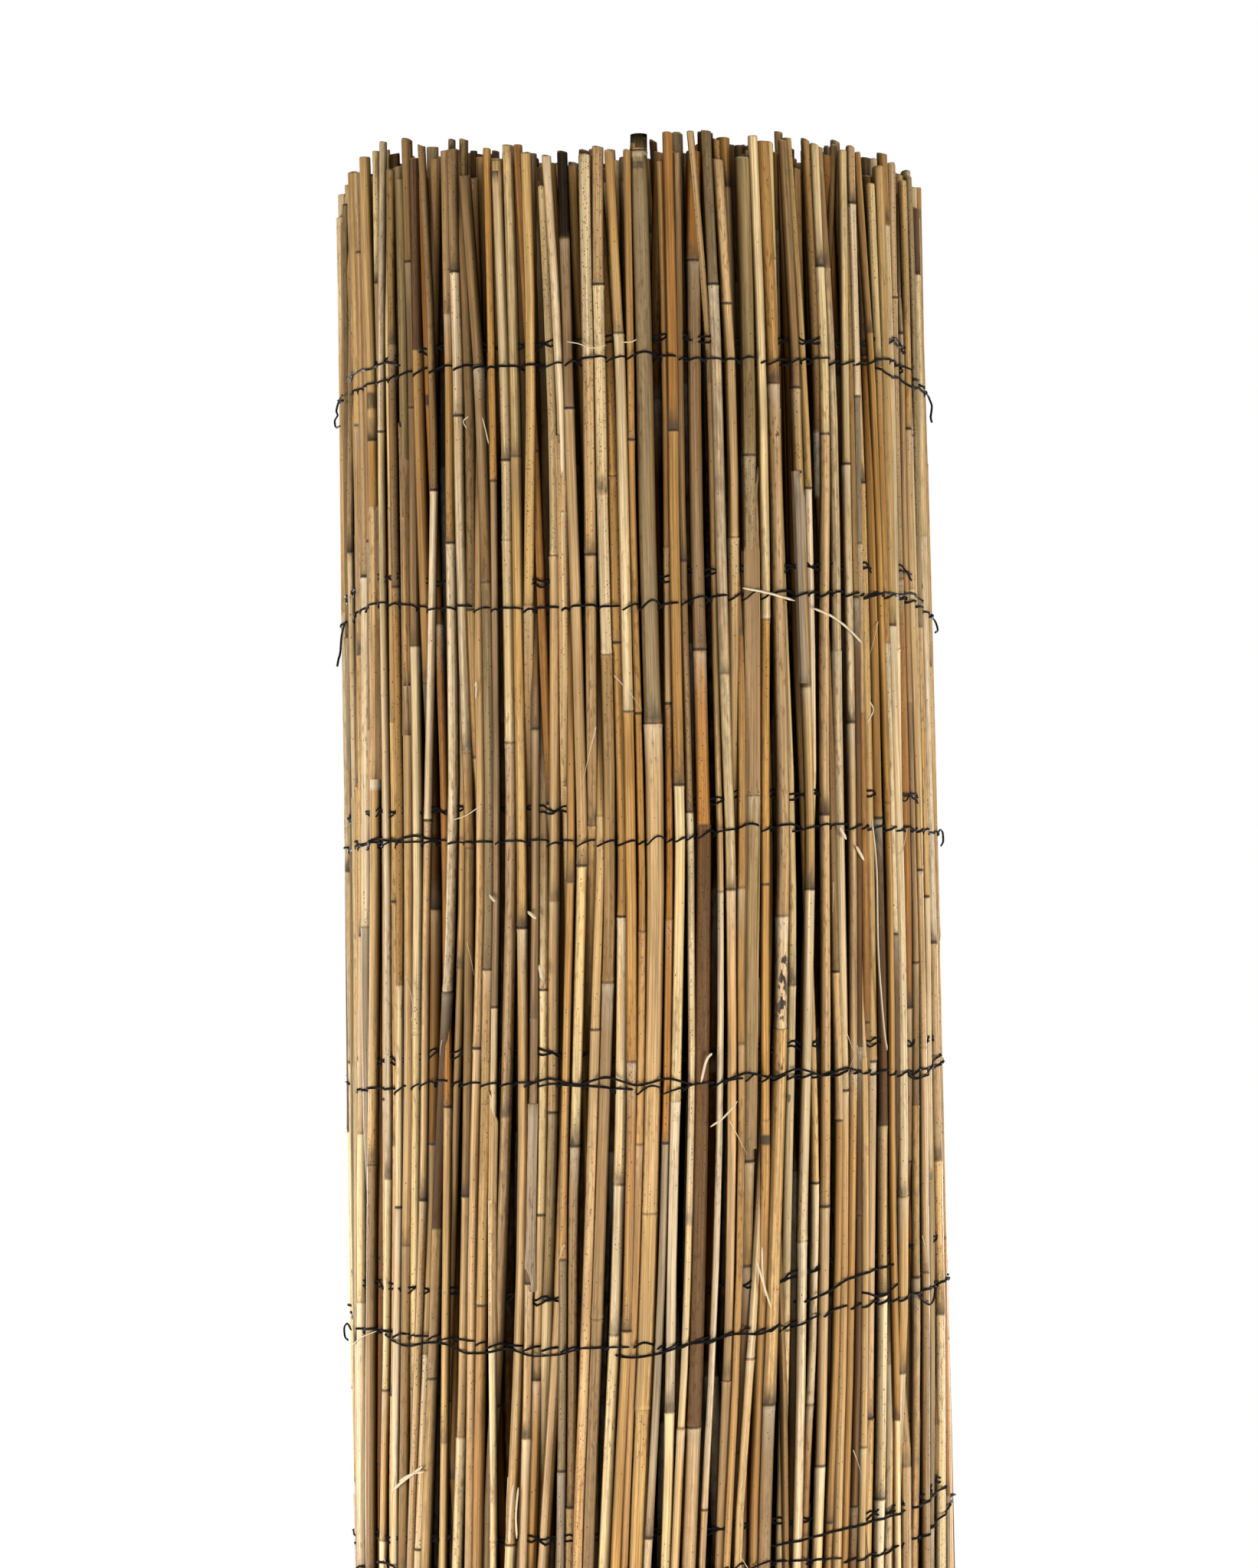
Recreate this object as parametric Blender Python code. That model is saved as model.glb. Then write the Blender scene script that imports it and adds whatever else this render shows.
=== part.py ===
"""A roll of cane screening, standing on its end.

The mat is one long sheet of thin canes, twined side by side by rows of wire and wound into a spiral
round an open bore. The wound mat is one solid: the canes of its outer turn stand proud of it, each
with its own thickness, taper and length, and every turn shows on both ends as a spiral land. Each row
of wire lies on the outer turn, from the place where it comes out from under the mat to the free edge.

Metres, +Z up, origin on the floor at the middle of the roll's box.
"""

import math
import random

import bmesh
import bpy
from mathutils import Matrix, Vector

# Driving dimensions of the roll
ROLL_HEIGHT = 1.800
ROLL_RADIUS = 0.1375
BORE_RADIUS = 0.0375
TURN_GAP = 0.0020
FREE_EDGE_ANGLE = math.radians(120.0)

# Canes of the mat
CANE_DIAMETER_LEAST = 0.0045
CANE_DIAMETER_MOST = 0.0076
CANE_TAPER = 0.88
CANE_GAP_LEAST = 0.0009
CANE_GAP_MOST = 0.0024
MAT_SLACK = 0.0004
CANE_BEDDING = 0.0013
CANE_SIDES = 8

# The canes that stand out on the front, from left to right: bearing in degrees from the front, thickness
FRONT_BEARING = math.radians(270.0)
FRONT_CANES = (
    (-71.5, 0.0046),
    (-63.0, 0.0052),
    (-55.5, 0.0046),
    (-50.0, 0.0049),
    (-43.5, 0.0047),
    (-39.3, 0.0051),
    (-35.6, 0.0047),
    (-32.3, 0.0053),
    (-27.9, 0.0060),
    (-24.6, 0.0050),
    (-21.9, 0.0050),
    (-18.0, 0.0048),
    (-14.2, 0.0048),
    (-11.9, 0.0047),
    (-9.5, 0.0046),
    (-6.2, 0.0050),
    (-2.8, 0.0049),
    (1.4, 0.0076),
    (5.8, 0.0046),
    (9.8, 0.0055),
    (14.7, 0.0047),
    (17.3, 0.0046),
    (20.6, 0.0071),
    (25.6, 0.0062),
    (30.7, 0.0049),
    (33.8, 0.0046),
    (36.9, 0.0048),
    (41.1, 0.0050),
    (45.5, 0.0047),
    (48.4, 0.0046),
    (51.3, 0.0050),
    (58.3, 0.0058),
    (62.1, 0.0046),
    (68.6, 0.0047),
    (74.0, 0.0046),
)

# Uneven ends and the grooves between the turns
RAGGED_TOP = 0.020
RAGGED_FOOT = 0.006
GROOVE_DEPTH = 0.018
GROOVE_CLEARANCE = 0.0002
CUTTER_OVERRUN = 0.003

# Rows of wire
WIRE_DIAMETER = 0.0008
ROW_PITCH = 0.100
END_MARGIN = 0.100
SEAT_GAP = 0.0003
ROW_SWAY = 0.0025

# Rise in metres of each of the top six rows, top row first, at these bearings in degrees from the front
SWAY_BEARINGS = (-80.0, -60.0, -40.0, -20.0, 0.0, 20.0, 40.0, 60.0, 80.0)
SEEN_SWAY = (
    (-0.0035, -0.0017, 0.0000, -0.0027, -0.0003, -0.0019, 0.0001, 0.0040, -0.0044),
    (-0.0017, 0.0041, -0.0002, -0.0028, -0.0025, 0.0015, 0.0032, 0.0036, -0.0024),
    (-0.0006, 0.0018, 0.0023, 0.0016, 0.0011, 0.0059, 0.0060, 0.0046, 0.0020),
    (-0.0060, -0.0033, 0.0021, 0.0026, -0.0006, 0.0033, 0.0038, 0.0005, 0.0013),
    (-0.0096, -0.0058, -0.0044, -0.0055, -0.0046, 0.0003, 0.0067, 0.0065, 0.0073),
    (-0.0129, -0.0095, -0.0041, -0.0001, 0.0028, 0.0049, 0.0019, 0.0028, 0.0119),
)

# Segments in one full turn of each curve
OUTLINE_SEGMENTS = 72
BORE_SEGMENTS = 36
GROOVE_SEGMENTS = 24
WIRE_SEGMENTS = 40
FLAT_ANGLE = math.radians(0.05)

CANE_COLOUR = (0.52, 0.36, 0.17, 1.0)
WIRE_COLOUR = (0.025, 0.024, 0.022, 1.0)
SEED = 7

# Sizes that follow from those above
FULL_TURN = 2.0 * math.pi
MAT_THICKNESS = CANE_DIAMETER_MOST + MAT_SLACK
BACKING = MAT_THICKNESS - CANE_DIAMETER_LEAST + CANE_BEDDING
TURN_PITCH = MAT_THICKNESS + TURN_GAP
WOUND_ANGLE = FULL_TURN * (ROLL_RADIUS - MAT_THICKNESS - BORE_RADIUS) / TURN_PITCH
CORE_HEIGHT = ROLL_HEIGHT - RAGGED_TOP / 2.0
WIRE_RADIUS = WIRE_DIAMETER / 2.0


def clear_scene():
    """Removes every object and leftover collection."""
    for obj in list(bpy.data.objects):
        bpy.data.objects.remove(obj)
    for collection in list(bpy.data.collections):
        bpy.data.collections.remove(collection)


def new_collection(name):
    """A collection linked to the scene."""
    collection = bpy.data.collections.new(name)
    bpy.context.scene.collection.children.link(collection)
    return collection


def make_material(name, colour, roughness, metallic):
    """A Principled material of one colour."""
    material = bpy.data.materials.new(name)
    material.use_nodes = True
    shader = material.node_tree.nodes["Principled BSDF"]
    shader.inputs["Base Color"].default_value = colour
    shader.inputs["Roughness"].default_value = roughness
    shader.inputs["Metallic"].default_value = metallic
    return material


def inner_face(wound):
    """Radius of the mat's inner face, where wound is the angle wound inwards from the free edge."""
    return ROLL_RADIUS - MAT_THICKNESS - TURN_PITCH * wound / FULL_TURN


def on_plan(radius, wound):
    """The point of the plan at that radius and wound angle."""
    angle = FREE_EDGE_ANGLE + wound
    return Vector((radius * math.cos(angle), radius * math.sin(angle), 0.0))


def wound_angles(start, end, segments_a_turn):
    """Evenly spaced wound angles from start to end, both included."""
    steps = max(2, math.ceil((end - start) / FULL_TURN * segments_a_turn))
    return [start + (end - start) * i / steps for i in range(steps + 1)]


def extruded_outlines(name, outlines, low, high, collection):
    """A solid with closed outlines on plan, from height low to height high. An inner outline is a hole."""
    curve = bpy.data.curves.new(name, "CURVE")
    curve.dimensions = "2D"
    curve.fill_mode = "BOTH"
    curve.extrude = (high - low) / 2.0
    for outline in outlines:
        spline = curve.splines.new("POLY")
        spline.points.add(len(outline) - 1)
        for point, place in zip(spline.points, outline):
            point.co = (place.x, place.y, 0.0, 1.0)
        spline.use_cyclic_u = True
    flat = bpy.data.objects.new(name + "_outline", curve)
    flat.location.z = (low + high) / 2.0
    collection.objects.link(flat)
    return as_mesh(flat, name, collection)


def as_mesh(source, name, collection):
    """The mesh of a curve object, with its caps welded, in place of the curve."""
    bpy.context.view_layer.update()
    graph = bpy.context.evaluated_depsgraph_get()
    mesh = bpy.data.meshes.new_from_object(source.evaluated_get(graph))
    welded = bmesh.new()
    welded.from_mesh(mesh)
    bmesh.ops.remove_doubles(welded, verts=welded.verts, dist=1e-5)
    bmesh.ops.recalc_face_normals(welded, faces=welded.faces)
    welded.to_mesh(mesh)
    welded.free()
    made = bpy.data.objects.new(name, mesh)
    made.matrix_world = source.matrix_world
    collection.objects.link(made)
    bpy.data.objects.remove(source)
    return made


def wound_core(collection):
    """The wound mat up to the bedding of its outer canes: a snail outline with the bore through it."""
    outer = [
        on_plan(inner_face(wound) + BACKING, wound)
        for wound in wound_angles(0.0, FULL_TURN, OUTLINE_SEGMENTS)
    ]
    bore = [
        on_plan(inner_face(wound), wound)
        for wound in wound_angles(WOUND_ANGLE - FULL_TURN, WOUND_ANGLE, BORE_SEGMENTS)
    ]
    return extruded_outlines("cane_roll", [outer, bore], 0.0, CORE_HEIGHT, collection)


def groove_outline():
    """The gap between neighbouring turns, run past the free edge at one end and into the bore at the other."""
    last = WOUND_ANGLE - FULL_TURN
    outer_wall = []
    inner_wall = []
    for wound in wound_angles(0.0, last, GROOVE_SEGMENTS):
        outer_wall.append(on_plan(inner_face(wound) - GROOVE_CLEARANCE, wound))
        inner_wall.append(on_plan(inner_face(wound) - TURN_GAP, wound))
    before = -CUTTER_OVERRUN / inner_face(0.0)
    after = last + CUTTER_OVERRUN / inner_face(last)
    outer_wall.insert(0, on_plan(inner_face(0.0) - GROOVE_CLEARANCE, before))
    inner_wall.insert(0, on_plan(inner_face(0.0) - TURN_GAP, before))
    outer_wall.append(on_plan(inner_face(last) - TURN_GAP / 2.0, after))
    inner_wall.append(on_plan(inner_face(last) - TURN_GAP * 1.5, after))
    return outer_wall + inner_wall[::-1]


def wound_at(bearing):
    """The wound angle of the outer turn at a bearing in degrees from the front."""
    return (FRONT_BEARING - FREE_EDGE_ANGLE + math.radians(bearing)) % FULL_TURN


def filled_stretch(chance, start, end):
    """Wound angle and butt radius of the canes that fill the outer turn from one wound angle to another."""
    stretch = []
    wound = start
    run = 0.0
    while True:
        butt = chance.uniform(CANE_DIAMETER_LEAST / CANE_TAPER, CANE_DIAMETER_MOST) / 2.0
        spacing = chance.uniform(CANE_GAP_LEAST, CANE_GAP_MOST)
        line = inner_face(wound) + MAT_THICKNESS - butt
        wound_here = wound + (run + butt) / line
        if wound_here + butt / line > end:
            return stretch
        stretch.append((wound_here, butt))
        wound = wound_here
        run = butt + spacing


def outer_turn_canes(chance):
    """Wound angle and butt radius of every cane of the outer turn, from the free edge round to it again."""
    front = [(wound_at(bearing), thickness / 2.0) for bearing, thickness in FRONT_CANES]
    edge_gap = SEAT_GAP * 2.0 / ROLL_RADIUS
    cane_room = (CANE_DIAMETER_MOST / 2.0 + CANE_GAP_LEAST) / inner_face(FULL_TURN)
    before = filled_stretch(chance, edge_gap, front[0][0] - cane_room)
    after = filled_stretch(chance, front[-1][0] + cane_room, FULL_TURN - edge_gap)
    return before + front + after


def outer_canes(collection):
    """The canes of the outer turn, butt and tip by turns, each of its own thickness and length."""
    chance = random.Random(SEED)
    canes = bmesh.new()
    for number, (wound, butt) in enumerate(outer_turn_canes(chance)):
        foot = chance.uniform(0.1, 1.0) * RAGGED_FOOT
        top = ROLL_HEIGHT - chance.uniform(0.0, 0.95) * RAGGED_TOP
        butt_up = number % 2 == 1
        centre = on_plan(inner_face(wound) + MAT_THICKNESS - butt, wound)
        centre.z = (foot + top) / 2.0
        turned = Matrix.Rotation(FREE_EDGE_ANGLE + wound, 4, "Z")
        bmesh.ops.create_cone(
            canes,
            cap_ends=True,
            segments=CANE_SIDES,
            radius1=butt * (CANE_TAPER if butt_up else 1.0),
            radius2=butt * (1.0 if butt_up else CANE_TAPER),
            depth=top - foot,
            matrix=Matrix.Translation(centre) @ turned,
        )
    mesh = bpy.data.meshes.new("outer_canes")
    canes.to_mesh(mesh)
    canes.free()
    made = bpy.data.objects.new("outer_canes", mesh)
    collection.objects.link(made)
    return made


def hide_helper(obj):
    """Keeps a cutter or a joined helper out of the finished model."""
    obj.hide_render = True
    obj.display_type = "WIRE"


def add_boolean(target, operation, other):
    """Joins other to target, or cuts it away, and hides it as a helper."""
    modifier = target.modifiers.new(other.name, "BOOLEAN")
    modifier.operation = operation
    modifier.object = other
    hide_helper(other)


def cane_roll(parts, cutters, material):
    """The wound mat: its core with a spiral groove in each end, joined to the canes of the outer turn."""
    roll = wound_core(parts)
    groove = groove_outline()
    foot_cut = extruded_outlines("foot_groove", [groove], -CUTTER_OVERRUN, GROOVE_DEPTH, cutters)
    top_cut = extruded_outlines(
        "top_groove", [groove], CORE_HEIGHT - GROOVE_DEPTH, CORE_HEIGHT + CUTTER_OVERRUN, cutters
    )
    add_boolean(roll, "DIFFERENCE", foot_cut)
    add_boolean(roll, "DIFFERENCE", top_cut)
    add_boolean(roll, "UNION", outer_canes(cutters))
    tidy = roll.modifiers.new("one_face_for_each_flat", "DECIMATE")
    tidy.decimate_type = "DISSOLVE"
    tidy.angle_limit = FLAT_ANGLE
    roll.data.materials.append(material)
    return roll


def row_rises(row_from_top, chance):
    """Heights of a row above its level, evenly spaced round the roll from the first bearing that is seen."""
    steps = round(360.0 / (SWAY_BEARINGS[1] - SWAY_BEARINGS[0]))
    rises = [chance.uniform(-ROW_SWAY, ROW_SWAY) for _ in range(steps)]
    if row_from_top < len(SEEN_SWAY):
        rises[: len(SWAY_BEARINGS)] = SEEN_SWAY[row_from_top]
    return rises


def rise_at(rises, wound):
    """The height of a row above its level at a wound angle, eased between the heights given."""
    bearing = math.degrees(FREE_EDGE_ANGLE + wound - FRONT_BEARING)
    place = (bearing - SWAY_BEARINGS[0]) % 360.0 / 360.0 * len(rises)
    step = int(place) % len(rises)
    part = place - int(place)
    eased = part * part * (3.0 - 2.0 * part)
    return rises[step] + (rises[(step + 1) % len(rises)] - rises[step]) * eased


def binding_wire(number, height, rises, collection, material):
    """One row of wire over the outer turn, from the step under the free edge round to the free edge."""
    chord_sag = ROLL_RADIUS * (1.0 - math.cos(math.pi / WIRE_SEGMENTS))
    stand_off = MAT_THICKNESS + WIRE_RADIUS + SEAT_GAP + chord_sag
    last = FULL_TURN - (WIRE_RADIUS + SEAT_GAP) / ROLL_RADIUS
    curve = bpy.data.curves.new(f"binding_wire_{number:02d}", "CURVE")
    curve.dimensions = "3D"
    curve.bevel_depth = WIRE_RADIUS
    curve.bevel_resolution = 0
    curve.use_fill_caps = True
    angles = wound_angles(0.0, last, WIRE_SEGMENTS)
    spline = curve.splines.new("POLY")
    spline.points.add(len(angles) - 1)
    for point, wound in zip(spline.points, angles):
        place = on_plan(inner_face(wound) + stand_off, wound)
        point.co = (place.x, place.y, rise_at(rises, wound), 1.0)
    curve.materials.append(material)
    wire = bpy.data.objects.new(f"binding_wire_{number:02d}", curve)
    wire.location.z = height
    collection.objects.link(wire)
    return wire


def binding_wires(collection, material):
    """The rows of wire, evenly spaced between the end margins."""
    span = ROLL_HEIGHT - 2.0 * END_MARGIN
    rows = int(span / ROW_PITCH + 1e-6) + 1
    lowest = (ROLL_HEIGHT - (rows - 1) * ROW_PITCH) / 2.0
    chance = random.Random(SEED)
    wires = []
    for row in range(rows):
        rises = row_rises(rows - 1 - row, chance)
        wires.append(binding_wire(row + 1, lowest + row * ROW_PITCH, rises, collection, material))
    return wires


def centre_on_origin(objects, helpers):
    """Hangs the objects and their helpers on an empty that puts the middle of the objects' box over the origin."""
    bpy.context.view_layer.update()
    graph = bpy.context.evaluated_depsgraph_get()
    corners = []
    for obj in objects:
        shown = obj.evaluated_get(graph)
        mesh = shown.to_mesh()
        corners += [shown.matrix_world @ vertex.co for vertex in mesh.vertices]
        shown.to_mesh_clear()
    middle_x = (min(c.x for c in corners) + max(c.x for c in corners)) / 2.0
    middle_y = (min(c.y for c in corners) + max(c.y for c in corners)) / 2.0
    axis = bpy.data.objects.new("roll_axis", None)
    axis.location = (-middle_x, -middle_y, 0.0)
    objects[0].users_collection[0].objects.link(axis)
    for obj in objects + helpers:
        obj.parent = axis


def main():
    """Builds the roll and its wires."""
    clear_scene()
    parts = new_collection("cane_screening_roll")
    cutters = new_collection("cutters")
    cane = make_material("cane", CANE_COLOUR, 0.55, 0.0)
    wire = make_material("wire", WIRE_COLOUR, 0.5, 0.6)
    roll = cane_roll(parts, cutters, cane)
    wires = binding_wires(parts, wire)
    centre_on_origin([roll] + wires, list(cutters.objects))


main()
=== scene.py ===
"""Dresses the roll of cane screening that stands on its end.

Every cane of the mat is its own tube, with its nodes, its taper and the colours of the lengths between its
nodes. The mat twists as the real roll does. On its front the canes that catch the eye are listed, and the
rest are drawn at random between them and all the way round. Leaf sheaths, loose fibres and the twined rows
of wire lie on the canes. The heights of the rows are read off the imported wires.

Metres, +Z up. Bearings are degrees round the roll from its front, rising to the right.
"""

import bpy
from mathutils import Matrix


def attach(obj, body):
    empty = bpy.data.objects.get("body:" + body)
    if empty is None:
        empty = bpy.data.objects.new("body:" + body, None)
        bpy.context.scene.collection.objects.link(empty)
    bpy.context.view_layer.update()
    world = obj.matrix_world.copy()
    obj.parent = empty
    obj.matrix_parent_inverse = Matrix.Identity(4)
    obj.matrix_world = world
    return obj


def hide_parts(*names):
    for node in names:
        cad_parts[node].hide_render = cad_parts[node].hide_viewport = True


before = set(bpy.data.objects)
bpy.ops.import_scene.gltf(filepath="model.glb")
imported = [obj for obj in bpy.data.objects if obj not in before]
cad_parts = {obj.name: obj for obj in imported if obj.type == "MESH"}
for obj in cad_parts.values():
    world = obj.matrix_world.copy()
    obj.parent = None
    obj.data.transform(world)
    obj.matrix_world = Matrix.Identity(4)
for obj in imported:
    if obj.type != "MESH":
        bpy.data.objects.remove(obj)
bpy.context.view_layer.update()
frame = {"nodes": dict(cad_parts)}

import logging
import math
import random
from dataclasses import dataclass, field
from enum import Enum

import bpy
import numpy as np
from mathutils import Matrix, Vector

LOG = logging.getLogger("cane_roll")
MM = 0.001
FRONT_ANGLE = 270.0


class Tone(Enum):
    """The colour of a length of cane, linear."""

    PALE = (0.860, 0.640, 0.365)
    STRAW = (0.630, 0.400, 0.180)
    GOLD = (0.530, 0.290, 0.095)
    TAN = (0.365, 0.224, 0.102)
    ORANGE = (0.460, 0.210, 0.053)
    BROWN = (0.155, 0.082, 0.038)
    OLIVE = (0.350, 0.244, 0.118)
    GREY = (0.375, 0.278, 0.175)
    DARK = (0.036, 0.025, 0.016)


TONE_LETTERS = {
    "P": Tone.PALE,
    "S": Tone.STRAW,
    "G": Tone.GOLD,
    "T": Tone.TAN,
    "O": Tone.ORANGE,
    "B": Tone.BROWN,
    "L": Tone.OLIVE,
    "Y": Tone.GREY,
    "D": Tone.DARK,
}
COMMON_TONES = "PPPPPPPPSSSSSSSSGGGTTTLYOB"
HIDDEN_TONES = "PPSSSSSGGGTTTLYOBB"


class Detail(Enum):
    """How closely a cane is modelled.

    Each value has the heights of the rings at a node, and the step of the rest, in millimetres.
    """

    FULL = ((-22.0, -6.0, -2.2, -0.9, -0.3, 0.3, 0.9, 2.6, 9.0, 24.0), 50.0)
    PLAIN = ((-9.0, -0.9, -0.3, 0.4, 1.4, 10.0), 75.0)
    BEHIND = ((-0.8, 0.4, 8.0), 100.0)
    SECOND = ((-0.8, 0.8), 200.0)
    ENDS = ((), 450.0)


# How far a drawn cane wanders sideways, in metres, and how many sides it has
WANDER = {Detail.PLAIN: 0.0030, Detail.BEHIND: 0.0085, Detail.SECOND: 0.0040, Detail.ENDS: 0.0020}
SIDES = {Detail.PLAIN: 9, Detail.BEHIND: 7, Detail.SECOND: 6, Detail.ENDS: 6}


@dataclass(frozen=True)
class FrontCane:
    """A cane of the outer turn on the front, by its bearing at 1.5 m.

    The tones run from the top down and change at the nodes, and those that aren't given are drawn. Beyond the
    heights where it is seen, the cane runs behind its neighbours.
    """

    bearing: float
    thickness_mm: float
    tones: str = ""
    set_back_mm: float = 0.0
    seen: tuple[float, float] = (1.80, 1.20)
    nodes: tuple[float, ...] = ()


# The canes that catch the eye on the front, chosen one by one
STANDOUT_CANES = (
    FrontCane(-62.0, 5.0, "SGS"),
    FrontCane(-50.0, 4.5, "LGS"),
    FrontCane(-45.0, 5.0, "BGBG", 0.5, nodes=(1.71, 1.57, 1.475)),
    FrontCane(-39.0, 4.5, "SGP"),
    FrontCane(-34.5, 4.5, "TPPG", nodes=(1.74, 1.68, 1.54)),
    FrontCane(-30.0, 5.0, "TTLS", nodes=(1.70, 1.61, 1.45)),
    FrontCane(-25.5, 5.0, "SPP", nodes=(1.78, 1.66)),
    FrontCane(-12.0, 4.5, "DTSP", 0.5, nodes=(1.75, 1.68)),
    FrontCane(-7.5, 5.0, "SPP"),
    FrontCane(-3.0, 4.5, "SPG", nodes=(1.71, 1.555)),
    FrontCane(1.5, 7.5, "GLSS", nodes=(1.785, 1.55, 1.35)),
    FrontCane(6.0, 4.5, "OGPP"),
    FrontCane(10.0, 6.0, "OTOB", 0.5, nodes=(1.74, 1.58)),
    FrontCane(15.0, 4.5, "LPPS", nodes=(1.73, 1.57)),
    FrontCane(20.5, 7.0, "LLLS", nodes=(1.66, 1.52, 1.37)),
    FrontCane(25.5, 6.0, "GSPS", nodes=(1.69, 1.47)),
    FrontCane(31.0, 4.5, "TSS"),
    FrontCane(36.0, 4.5, "PPS", nodes=(1.74, 1.67)),
    FrontCane(40.5, 4.5, "SPPS", nodes=(1.74, 1.58)),
    FrontCane(51.5, 4.5, "LGBS", 0.5),
    FrontCane(57.5, 5.5, "SPS"),
)

# Top outline of the front, which is highest at the left and dips left of the middle: bearing in degrees,
# height in millimetres above 1.7 m
SKYLINE = ((-80, 90), (-60, 99), (-35, 93), (-12, 82), (5, 89), (30, 93), (60, 91), (80, 86))

# How far the mat twists round the roll: height in metres, degrees against the bearing at 1.5 m
TWIST = (
    (0.0, -7.0),
    (0.8, -8.5),
    (1.1, -7.5),
    (1.2, -5.5),
    (1.3, -3.0),
    (1.4, -1.2),
    (1.5, 0.0),
    (1.7, 0.0),
    (1.8, -1.0),
)

# How far the strands on the turn under the outer one lie above their row, top row first
INNER_ROW_LIFT_MM = (9.0, 12.0, 14.0, 13.0, 20.0, 17.0)

# Loops and hooks of wire that stand off the rows: row, bearing, and steps along, out and up in millimetres
LOOSE_WIRES = (
    (17, -79.0, ((6, 0.3, 2), (2, 0.6, 1), (-2, 1.2, -1), (-3, 1.8, -4),
                 (-2, 1.4, -6), (-5, 2.4, -8), (-4, 2.0, -11), (1, 0.8, -11))),
    (17, 83.0, ((-4, 0.3, 0), (0, 1.0, -1), (2, 1.8, -3), (1, 2.4, -5),
                (3, 2.2, -7), (2, 1.8, -10), (4, 2.2, -12))),
    (16, -78.0, ((6, 0.3, 1), (1, 0.8, -2), (-4, 1.0, -6), (-5, 1.4, -12), (-3, 2.4, -15), (-5, 2.8, -18))),
    (16, 82.0, ((-4, 0.3, 0), (1, 1.0, -1), (4, 2.0, -3), (3, 2.6, -6), (0, 1.6, -7))),
    (15, 84.0, ((-5, 0.3, 0), (0, 1.2, 2), (4, 2.4, 1), (5, 2.6, -3), (2, 1.6, -5))),
    (13, -80.0, ((4, 0.3, 0), (-1, 1.2, 2), (-4, 2.4, 0), (-3, 2.2, -4), (0, 1.2, -5))),
    (13, 62.0, ((-9, 0.4, 1), (-4, 1.0, -3), (2, 1.4, -5), (8, 1.0, -3), (12, 0.4, 1))),
)

# Runs of slack strand over the canes beside a row: row, first and last bearing, millimetres above the row's
# level at even steps
SLACK_RUNS = (
    (13, 27.0, 52.0, (10.5, 12.2, 15.0, 18.5, 19.8, 20.7, 21.2, 22.0)),
    (13, 41.0, 53.0, (12.4, 11.2, 9.2, 9.0, 12.5, 14.5)),
    (13, -60.0, -12.0, (-5.0, -8.2, -9.0, -6.2, -5.4, -8.8, -8.0, -5.2, -8.6, -7.4, -3.8)),
    (13, -8.0, 24.0, (-7.0, -8.4, -6.6, -3.0, -2.2, 0.5, -1.0, 3.8)),
    (14, -24.0, 9.0, (1.0, 5.8, 2.6, 6.4, 2.0, 5.4, 1.5)),
    (14, 12.0, 44.0, (2.0, 6.8, 3.6, 7.4, 3.0, 6.4, 2.5)),
    (14, 56.0, 78.0, (3.0, -2.4, -1.0, 3.8, 7.0)),
    (12, 20.0, 74.0, (12.0, 13.8, 15.4, 16.2, 16.8, 17.2, 17.6, 19.5, 20.8)),
    (12, -66.0, -30.0, (-4.5, -3.0, -5.5, -2.4, -4.4, -1.0)),
    (17, -72.0, -48.0, (4.0, 6.4, 5.0, 6.8, 3.4)),
    (17, 52.0, 80.0, (1.0, -3.0, -1.6, -5.6, -3.0, -7.5)),
    (16, 46.0, 74.0, (1.4, 5.0, 4.2, 6.2, 2.0)),
    (15, -74.0, -40.0, (4.2, 1.4, 4.8, 3.4, 6.0, 3.0)),
    (9, -50.0, 10.0, (-3.0, 3.4, 4.6, 2.8, 5.0, 1.0)),
    (7, 150.0, 196.0, (-2.0, 4.0, 5.5, 3.0, 4.6, 0.0)),
    (11, 96.0, 140.0, (-2.0, 5.0, 6.5, 4.0, 1.0)),
    (14, 172.0, 222.0, (2.0, -4.0, -5.5, -3.4, 1.0)),
    (5, 20.0, 66.0, (2.4, -3.4, -5.0, -2.6, 1.6)),
)

# Sheaths on the front: bearing, height of the node, height of the free end, tone
SEEN_SHEATHS = (
    (20.5, 1.375, 1.655, Tone.TAN),
    (29.7, 1.566, 1.654, Tone.GREY),
    (-50.2, 1.548, 1.680, Tone.TAN),
    (-62.8, 1.530, 1.661, Tone.STRAW),
    (-14.0, 1.515, 1.669, Tone.STRAW),
    (-29.5, 1.295, 1.400, Tone.STRAW),
    (-22.5, 1.395, 1.318, Tone.GREY),
)

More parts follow.
